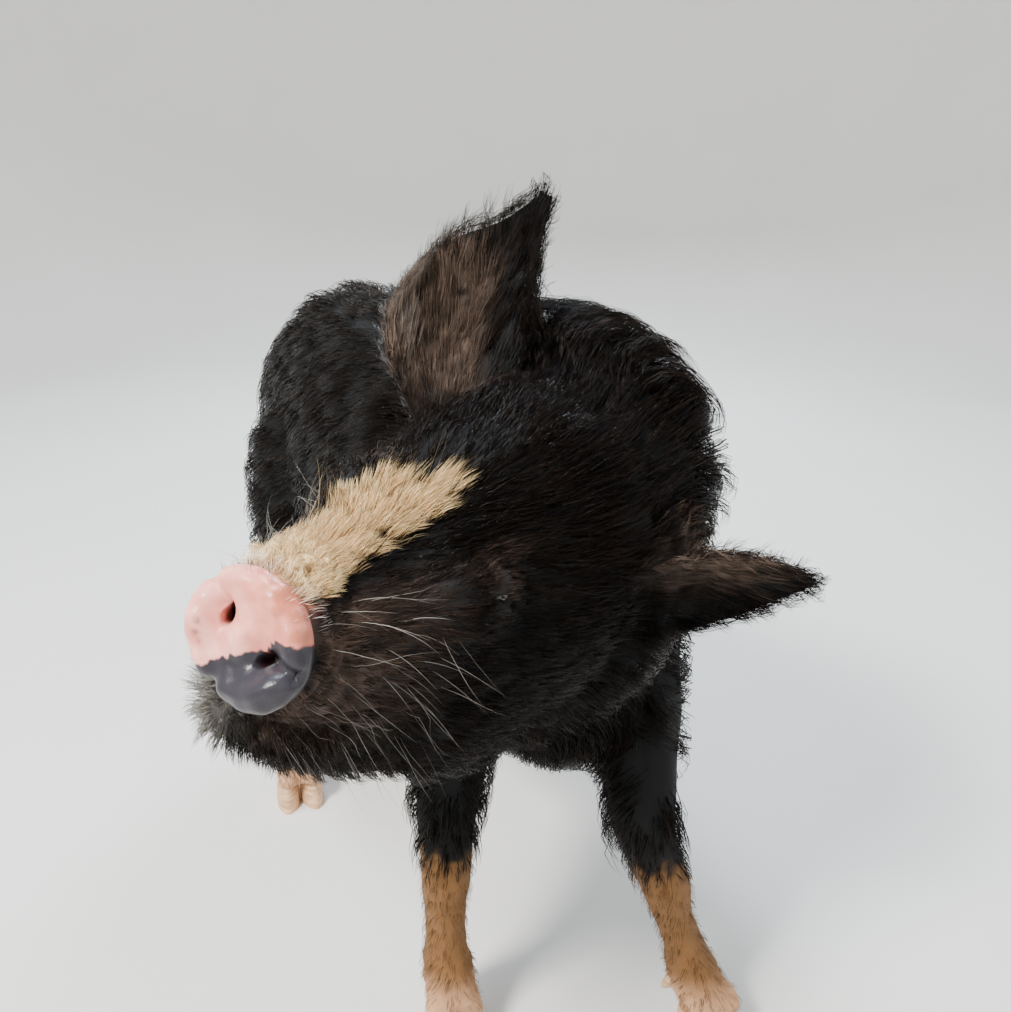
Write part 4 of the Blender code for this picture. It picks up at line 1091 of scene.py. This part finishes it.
def guides(tree, roots, outs, kind, draw):  # the middle line of each lock, marched over the skin
    count, steps = len(roots), kind["rings"] + 1
    length = kind["length"](roots) if callable(kind["length"]) else np.full(count, kind["length"])
    lids = np.min([np.linalg.norm(roots - np.array(place), axis=1) for place in lidPlaces], axis=0)
    length = length * draw.uniform(0.78, 1.20, count) * (0.30 + 0.70 * ramp(lids, 0.010, 0.038))
    step = (length / steps)[:, None]
    lie = flattened(lieAt(roots, outs), outs)
    swing = draw.normal(0, kind["swing"], count)[:, None]
    lie = unit(lie + np.cross(outs, lie) * swing)
    rise = np.radians(kind["lift"] * draw.uniform(0.7, 1.35, count))[:, None]
    way = lie * np.cos(rise) + outs * np.sin(rise)
    layer = draw.uniform(0.45, 1.25, count)
    path, normals, heights = [roots], [outs], [np.zeros(count)]
    for index in range(steps):
        t = (index + 1) / steps
        free = path[-1] + way * step
        near, outward = nearest(tree, free)
        height = ((free - near) * outward).sum(axis=1)
        wanted = kind["depth"] * layer * math.sin(t * 2.2)
        kept = wanted + np.maximum(height - wanted, 0) * (1 - kind["hug"])
        settled = near + outward * kept[:, None]
        way = unit(settled - path[-1])
        path.append(path[-1] + way * step)
        normals.append(outward)
        heights.append(kept)
        lie = flattened(lieAt(path[-1], outward), outward)
        lie = unit(lie + np.cross(outward, lie) * swing)
        rising = (way * outward).sum(axis=1)[:, None] * outward
        way = way * (1 - kind["turn"]) + (lie + rising) * kind["turn"]
        way = unit(way + np.array((0, 0, -kind["droop"])))
    return np.stack(path, 1), np.stack(normals, 1), np.stack(heights, 1)


def strandsOf(path, normals, heights, kind, draw):  # ring middles, sides and ups of each strand
    count, steps = path.shape[0], path.shape[1] - 1
    many, rings = kind["strands"], kind["rings"]
    shape = (count, many)
    aside, above = draw.uniform(-1, 1, shape), draw.uniform(-0.3, 0.55, shape)
    start = draw.uniform(0.0, kind["stagger"], shape) * (many > 1)
    reach = (1 - start) * draw.uniform(0.72, 1.0, shape)
    pinch = draw.uniform(*kind["pinch"], shape)
    stray = draw.random(shape) < strayShare
    pinch = np.where(stray, -0.5, pinch)
    bow = draw.normal(0, 0.15, shape)
    found = []
    for ring in range(rings + 1):
        share = ring / rings
        s = (start + reach * share) * steps
        low = np.minimum(s.astype(int), steps - 1)
        part = (s - low)[:, :, None]
        rows = np.arange(count)[:, None]
        middle, out = (
            line[rows, low] * (1 - part) + line[rows, low + 1] * part for line in (path, normals))
        high = heights[rows, low] * (1 - part[:, :, 0]) + heights[rows, low + 1] * part[:, :, 0]
        way = path[rows, low + 1] - path[rows, low]
        way = way / np.linalg.norm(way, axis=2, keepdims=True)
        side = np.cross(out, way)
        side = side / np.maximum(np.linalg.norm(side, axis=2, keepdims=True), 1e-6)
        up = np.cross(way, side)
        close = 1 - pinch * share**0.8
        off = aside * close + bow * math.sin(math.pi * share)
        place = middle + side * (off * kind["spread"] / 2)[:, :, None]
        place += up * (above * close * kind["spread"] / 2)[:, :, None]
        if ring == 0:
            place = place - out * (high + rootDepth)[:, :, None]
        found.append((place.reshape(-1, 3), side.reshape(-1, 3), up.reshape(-1, 3)))
    return found


def strandFaces(rings):  # the triangles of one strand: a cap at the root, sides, and a point
    faces = [(0, 2, 1)]
    for ring in range(rings - 1):
        for corner in range(3):
            a, b = ring * 3 + corner, ring * 3 + (corner + 1) % 3
            faces += [(a, b, b + 3), (a, b + 3, a + 3)]
    last = (rings - 1) * 3
    return np.array(faces + [(last + c, last + (c + 1) % 3, last + 3) for c in range(3)])


def growKind(surface, tree, atlas, kind, draw):
    roots, outs = scatter(surface, kind, draw)
    path, normals, heights = guides(tree, roots, outs, kind, draw)
    rings, many = kind["rings"], kind["strands"]
    sections = strandsOf(path, normals, heights, kind, draw)
    total = len(roots) * many
    thick = kind["thick"] * draw.uniform(0.75, 1.3, total) / 2
    verts = np.empty((total, rings * 3 + 1, 3))
    base = markings(np.repeat(roots, many, axis=0), np.repeat(outs, many, axis=0), True)
    if "shade" in kind:
        base = blend(base, kind["shade"], kind["mixing"] * draw.random(total))
    rootTone, tipTone = kind["tone"]
    rootBase = blend(base, kind["rootShade"], np.full(total, 0.7)) if "rootShade" in kind else base
    tone = np.exp(draw.normal(0.0, 0.22, total))
    warm = draw.random(total)[:, None] * np.array((0.010, 0.005, 0.002)) * (base.sum(axis=1) < 0.05)[:, None]
    base, rootBase = base * tone[:, None] + warm, rootBase * tone[:, None] + warm
    colours = np.empty((total, rings * 3 + 1, 3))
    for ring, (place, side, up) in enumerate(sections[:-1]):
        share = ring / rings
        wide = thick * min(0.72 + 1.2 * share, 1.0, 1.7 * (1 - share))
        for corner, (a, b) in enumerate(((1, -0.35), (0, 0.85), (-1, -0.35))):
            verts[:, ring * 3 + corner] = place + side * (a * wide)[:, None] + up * (b * wide)[:, None]
        mixed = rootBase * (1 - share) + base * share
        colours[:, ring * 3:ring * 3 + 3] = (mixed * (rootTone + (tipTone - rootTone) * share))[:, None, :]
    verts[:, -1] = sections[-1][0]
    colours[:, -1] = base * tipTone
    faces = strandFaces(rings)
    allFaces = (faces[None] + (np.arange(total) * (rings * 3 + 1))[:, None, None]).reshape(-1, 3)
    rootUv = np.repeat(atlas(roots), many, axis=0)
    across = ((np.arange(total) % many + 0.5) / many - 0.5) * patch
    along = (np.append(np.repeat(np.arange(rings), 3), rings) / rings - 0.5) * patch
    uv = np.empty((total, rings * 3 + 1, 2))
    uv[:, :, 0] = rootUv[:, 0, None] + across[:, None]
    uv[:, :, 1] = rootUv[:, 1, None] + along[None, :]
    uv = np.clip(uv, 0, 1).reshape(-1, 2)
    return verts.reshape(-1, 3), allFaces, colours.reshape(-1, 3), uv, len(roots)


def coatPiece(name, made):
    starts = np.cumsum([0] + [len(part[0]) for part in made])
    points = np.vstack([part[0] for part in made])
    faces = np.vstack([part[1] + start for part, start in zip(made, starts)])
    spots = points[faces]
    if np.linalg.det(spots - spots.mean(axis=(0, 1))).sum() < 0:
        faces = faces[:, ::-1]
    mesh = bpy.data.meshes.new(name)
    mesh.vertices.add(len(points))
    mesh.vertices.foreach_set("co", points.astype(np.float32).ravel())
    mesh.loops.add(faces.size)
    mesh.loops.foreach_set("vertex_index", faces.astype(np.int32).ravel())
    mesh.polygons.add(len(faces))
    mesh.polygons.foreach_set("loop_start", np.arange(0, faces.size, 3, dtype=np.int32))
    mesh.update(calc_edges=True)
    mesh.shade_smooth()
    layer = mesh.uv_layers.new(name="OFBake")
    flat = np.vstack([part[3] for part in made])[faces.ravel()]
    layer.uv.foreach_set("vector", flat.astype(np.float32).ravel())
    writeColours(mesh, "markings", np.vstack([part[2] for part in made]))
    return newObject(name, mesh)


def skinAtlas(skin):  # places on an unwrap of the skin's own shape, for the roots of the tufts
    coarse = newObject("coarse", skin.data.copy())
    applyModifier(coarse, "DECIMATE", ratio=0.05)
    bpy.ops.object.select_all(action="DESELECT")
    coarse.select_set(True)
    bpy.ops.object.mode_set(mode="EDIT")
    bpy.ops.mesh.select_all(action="SELECT")
    bpy.ops.uv.smart_project(angle_limit=math.radians(66), island_margin=0.004)
    bpy.ops.object.mode_set(mode="OBJECT")
    mesh = coarse.data
    layer = mesh.uv_layers.active
    spots = [[mesh.vertices[v].co.copy() for v in face.vertices] for face in mesh.polygons]
    flats = [[Vector((*layer.uv[loop].vector, 0)) for loop in face.loop_indices] for face in mesh.polygons]
    tree = BVHTree.FromPolygons([v.co for v in mesh.vertices], [tuple(f.vertices) for f in mesh.polygons])
    bpy.data.objects.remove(coarse, do_unlink=True)

    def atlas(points):
        found = []
        for point in points:
            place, _, index, _ = tree.find_nearest(Vector(point))
            found.append(barycentric_transform(place, *spots[index][:3], *flats[index][:3])[:2])
        return np.array(found)

    return atlas


# Hooves, dew claws

horn = {"length": 0.044, "width": 0.025, "height": 0.030, "gap": 0.0024, "splay": 0.10, "segments": 36}
# Parts of its height, length, width and set-back, from the sole up.
hornRows = [
    (0.0, 0.50, 0.50, 0.0), (0.35, 0.48, 0.50, 0.02), (0.75, 0.42, 0.46, 0.08), (1.0, 0.36, 0.38, 0.13),
]
clawRows = [(0.0, 0.0075), (0.35, 0.0080), (0.75, 0.0060), (1.0, 0.0026)]  # part of its length, and radius


def hoofShape(name, foot, sign):
    (x, y), way, left = footFrame(foot)
    toeWay = (way + left * sign * horn["splay"]).normalized()
    rings = []
    for index, (height, length, width, setBack) in enumerate(smoothRows(hornRows, 6)):
        middle = Vector((x, y, horn["height"] * height)) + left * sign * (horn["width"] + horn["gap"]) / 2
        middle -= toeWay * horn["length"] * setBack
        ridge = 1 + 0.010 * math.sin(index * 2.1)  # the growth rings of the horn
        rise, half = horn["length"] * length * ridge, horn["width"] * width * ridge
        rings.append((middle, toeWay, Vector((0, 0, 1)), half, rise, rise * 0.8, 0.22))
    return loft(name, rings, horn["segments"])


def dewClawShape(name, foot, sign):
    (x, y), way, left = footFrame(foot)
    root = Vector((x, y, 0.056)) - way * 0.022 + left * sign * 0.012
    tip = root - way * 0.016 + left * sign * 0.006 - Vector((0, 0, 0.028))
    along = (tip - root).normalized()
    rings = []
    for t, radius in smoothRows(clawRows, 4):
        rings.append((root.lerp(tip, t), way, along, radius, radius * 0.8, radius * 0.8, 0.0))
    return loft(name, rings, 24)


# Eyeballs

def eyeball(name, middle, outward):  # a round ball with a swelling cornea, its iris and pupil painted in
    piece = ball(name, middle, (eye["radius"],) * 3, None, 5)
    mesh = piece.data
    points = places(mesh)
    rays = unit(points - np.array(middle))
    turn = np.degrees(np.arccos(np.clip(rays @ np.array(outward), -1, 1)))
    setPlaces(mesh, points + rays * (0.0008 * ramp(turn, 34, 18))[:, None])
    found = np.tile(np.array(palette["sclera"]), (len(points), 1))
    found = blend(blend(found, "iris", ramp(turn, 36, 33)), "pupil", ramp(turn, 15, 13))
    writeColours(mesh, "markings", found)
    mesh.shade_smooth()
    return piece


# Materials

def addNode(tree, kind, settings=None, links=None):  # links: input name or number to an output socket
    made = tree.nodes.new(kind)
    for key, value in (settings or {}).items():
        if hasattr(made, key):
            setattr(made, key, value)
        else:
            made.inputs[key].default_value = value
    for key, socket in (links or {}).items():
        tree.links.new(socket, made.inputs[key])
    return made


def newMaterial(name, settings):
    made = bpy.data.materials.new(name)
    made.use_nodes = True
    for key, value in settings.items():
        made.node_tree.nodes["Principled BSDF"].inputs[key].default_value = value
    return made, made.node_tree


def wired(material, sockets):  # joins output sockets to the inputs of the material's shader
    tree = material.node_tree
    for key, socket in sockets.items():
        tree.links.new(socket, tree.nodes["Principled BSDF"].inputs[key])
    return material


def objectPlace(tree):
    return addNode(tree, "ShaderNodeTexCoord").outputs["Object"]


def noiseAt(tree, place, scale, detail):
    made = addNode(tree, "ShaderNodeTexNoise", {"Scale": scale, "Detail": detail}, {"Vector": place})
    return made.outputs["Fac"]


def mapped(tree, value, low, high, start=0.0, stop=1.0):
    sizes = {"From Min": start, "From Max": stop, "To Min": low, "To Max": high}
    return addNode(tree, "ShaderNodeMapRange", sizes, {"Value": value}).outputs["Result"]


def shaded(tree, value, first, last, start=0.0, stop=1.0):  # from one sRGB colour to another
    made = addNode(tree, "ShaderNodeValToRGB", None, {"Fac": value})
    ends = made.color_ramp.elements
    ends[0].position, ends[1].position = start, stop
    ends[0].color, ends[1].color = colour(first), colour(last)
    return made.outputs["Color"]


def painted(tree, tone):  # the painted markings, made lighter and darker by a tone
    paint = addNode(tree, "ShaderNodeAttribute", {"attribute_name": "markings"})
    links = {0: paint.outputs["Color"], "Scale": tone}
    return addNode(tree, "ShaderNodeVectorMath", {"operation": "SCALE"}, links).outputs["Vector"]


def wetBristle():  # Wet pig bristle: near black keratin under a film of water, with thin cool glints.
    made, tree = newMaterial("wetBristle", {"IOR": 1.38, "Specular IOR Level": 0.16})
    place = objectPlace(tree)
    tone = mapped(tree, noiseAt(tree, place, 380.0, 2.0), 0.78, 1.22)
    rough = mapped(tree, noiseAt(tree, place, 22.0, 3.0), 0.17, 0.31, 0.35, 0.65)
    return wired(made, {"Base Color": painted(tree, tone), "Roughness": rough})


def pigSkin():  # Damp pig skin: soft and finely pored, glossy on the bare nose and dull under the hair.
    made, tree = newMaterial("dampPigSkin", {
        "IOR": 1.33, "Subsurface Weight": 0.10, "Subsurface Radius": (0.004, 0.0015, 0.0008),
        "Subsurface Scale": 1.0,
    })
    place = objectPlace(tree)
    bare = addNode(tree, "ShaderNodeAttribute", {"attribute_name": "bareness"}).outputs["Fac"]
    tone = mapped(tree, noiseAt(tree, place, 210.0, 4.0), 0.82, 1.16)
    hair = noiseAt(tree, place, 620.0, 3.0)
    pores = addNode(tree, "ShaderNodeTexVoronoi", {"Scale": 640.0}, {"Vector": place}).outputs["Distance"]
    relief = addNode(tree, "ShaderNodeMix", {"data_type": "FLOAT"}, {"Factor": bare, 2: hair, 3: pores})
    bump = addNode(tree, "ShaderNodeBump", {"Distance": 0.0008},
                   {"Height": relief.outputs[0], "Strength": mapped(tree, bare, 0.35, 0.10)})
    rough = mapped(tree, bare, 0.78, 0.31)
    tint = painted(tree, tone)
    return wired(made, {"Base Color": tint, "Roughness": rough, "Normal": bump.outputs["Normal"]})


def hoofHorn():  # Pig's hoof horn: dull, waxy and pinkish tan, with fine growth rings.
    made, tree = newMaterial("hoofHorn", {"IOR": 1.54})
    scale = {"Scale": (60.0, 60.0, 330.0)}
    stretch = addNode(tree, "ShaderNodeMapping", scale, {"Vector": objectPlace(tree)})
    rings = noiseAt(tree, stretch.outputs["Vector"], 1.0, 4.0)
    tint = shaded(tree, rings, "#b08560", "#e2bb92", 0.3, 0.7)
    bump = addNode(tree, "ShaderNodeBump", {"Strength": 0.4, "Distance": 0.0006}, {"Height": rings})
    rough = mapped(tree, rings, 0.38, 0.58)
    return wired(made, {"Base Color": tint, "Roughness": rough, "Normal": bump.outputs["Normal"]})


def wetEye():  # A wet, dark brown eyeball: nearly black, with a sharp glint.
    made, tree = newMaterial("wetEye", {"IOR": 1.38, "Coat Weight": 1.0, "Coat Roughness": 0.02})
    cloud = noiseAt(tree, objectPlace(tree), 900.0, 4.0)
    tint = painted(tree, mapped(tree, cloud, 0.6, 1.4))
    return wired(made, {"Base Color": tint, "Roughness": mapped(tree, cloud, 0.04, 0.09)})


def paleFloor():  # A pale, matt studio sweep.
    made, tree = newMaterial("paleStudioFloor", {"Roughness": 0.9})
    dust = noiseAt(tree, objectPlace(tree), 3.0, 5.0)
    return wired(made, {"Base Color": shaded(tree, dust, "#d6d4cf", "#dedcd8")})


# Making it

def setPiece(piece, material):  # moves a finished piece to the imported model's place and dresses it
    piece.data.transform(Matrix.Translation(shift))
    piece.data.materials.clear()
    piece.data.materials.append(material)
    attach(piece, "root")


skin, spots = makeSkin()
lidPlaces = [spots[side][2] for side in spots]
paintSkin(skin, spots)
skin.data.shade_smooth()
skinTriangles = sum(len(face.vertices) - 2 for face in skin.data.polygons)
print("skin:", len(skin.data.polygons), "faces,", skinTriangles, "triangles")

tree = treeOf(skin)
atlas = skinAtlas(skin)
surface = surfaceOf(skin.data)
bristle = wetBristle()
coatTriangles = 0
for name, kinds in coatKinds.items():
    made = []
    for kind in kinds:
        made.append(growKind(surface, tree, atlas, {**usual, **kind}, rng))
    piece = coatPiece(name, made)
    coatTriangles += len(piece.data.polygons)
    print(name + ":", [part[4] for part in made], "tufts,", len(piece.data.polygons), "triangles")
    setPiece(piece, bristle)
print("coat:", coatTriangles, "triangles")

setPiece(skin, pigSkin())
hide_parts("head", "neck", "torso", "tail", "snout", "ear_left", "ear_right",
            "leg_front_left", "leg_front_right", "leg_hind_left", "leg_hind_right")

hornMaterial = hoofHorn()
for foot in feet:
    for side, sign in sides:
        for kind, shape in (("hoof", hoofShape), ("dewclaw", dewClawShape)):
            node = f"{kind}_{foot}_{side}"
            piece = shape(node + "_horn", foot, sign)
            piece.data.shade_smooth()
            piece.data.set_sharp_from_angle(angle=math.radians(50))
            setPiece(piece, hornMaterial)
            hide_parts(node)
print("hooves and dew claws made")

eyeMaterial = wetEye()
for side, (middle, outward, _) in spots.items():
    piece = eyeball(f"eye_{side}_ball", middle, outward)
    setPiece(piece, eyeMaterial)
    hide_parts("eye_" + side)

# Floor, light and camera
bm = bmesh.new()
flatReach, curve, wallTop = 2.6, 1.3, 3.4  # the floor's flat part, its bend up and its wall
bend = [(flatReach + curve * math.sin(turn), curve - curve * math.cos(turn))
        for turn in np.radians(np.arange(9, 91, 9))]
sweep = [(0.0, 0.0), (flatReach, 0.0)] + bend + [(flatReach + curve, wallTop)]
profile = [bm.verts.new((across, 0, high)) for across, high in sweep]
lines = [bm.edges.new(pair) for pair in zip(profile, profile[1:])]
bmesh.ops.spin(
    bm, geom=profile + lines, cent=(0, 0, 0), axis=(0, 0, 1), angle=2 * math.pi, steps=96, use_merge=True)
bmesh.ops.remove_doubles(bm, verts=bm.verts, dist=0.0001)
bmesh.ops.recalc_face_normals(bm, faces=bm.faces)
bmesh.ops.reverse_faces(bm, faces=bm.faces)
floor = meshObject("studio_floor", bm)
floor.data.materials.append(paleFloor())
floor.data.shade_smooth()

studio = {  # place, power, size and tint of each lamp
    "key": ((-1.7, -0.9, 2.3), 170.0, 0.6, (1.0, 0.97, 0.93)),
    "fill": ((1.9, -1.2, 1.1), 16.0, 1.6, (0.90, 0.95, 1.0)),
    "rim": ((1.4, 2.1, 1.9), 90.0, 0.7, (0.80, 0.90, 1.0)),
    "top": ((-0.2, 0.3, 2.8), 85.0, 0.7, (0.80, 0.89, 1.0)),
}
lampAim = Vector((0, 0, 0.35))
for name, (place, power, size, tint) in studio.items():
    lamp = bpy.data.lights.new(name, "AREA")
    lamp.energy, lamp.size, lamp.color = power, size, tint
    lampObject = newObject(name, lamp)
    lampObject.location = place
    lampObject.rotation_euler = (lampAim - Vector(place)).to_track_quat("-Z", "Y").to_euler()

world = bpy.data.worlds.new("softStudio")
world.use_nodes = True
sky = world.node_tree.nodes["Background"]
sky.inputs["Color"].default_value = colour("#dfe3e8")
sky.inputs["Strength"].default_value = 0.24
bpy.context.scene.world = world

# The photo's camera: height, lens, and its heading and dip in degrees.
photo = {"height": 0.72, "lens": 35.6, "heading": 25, "down": 20}
camera = bpy.data.cameras.new("camera")
camera.lens = photo["lens"]
cameraObject = newObject("camera", camera)
heading, down = math.radians(photo["heading"]), math.radians(photo["down"])
look = Vector((math.sin(heading) * math.cos(down), math.cos(heading) * math.cos(down), -math.sin(down)))
cameraObject.location = Vector((0, 0, photo["height"])) + shift
cameraObject.rotation_euler = look.to_track_quat("-Z", "Y").to_euler()
bpy.context.scene.camera = cameraObject
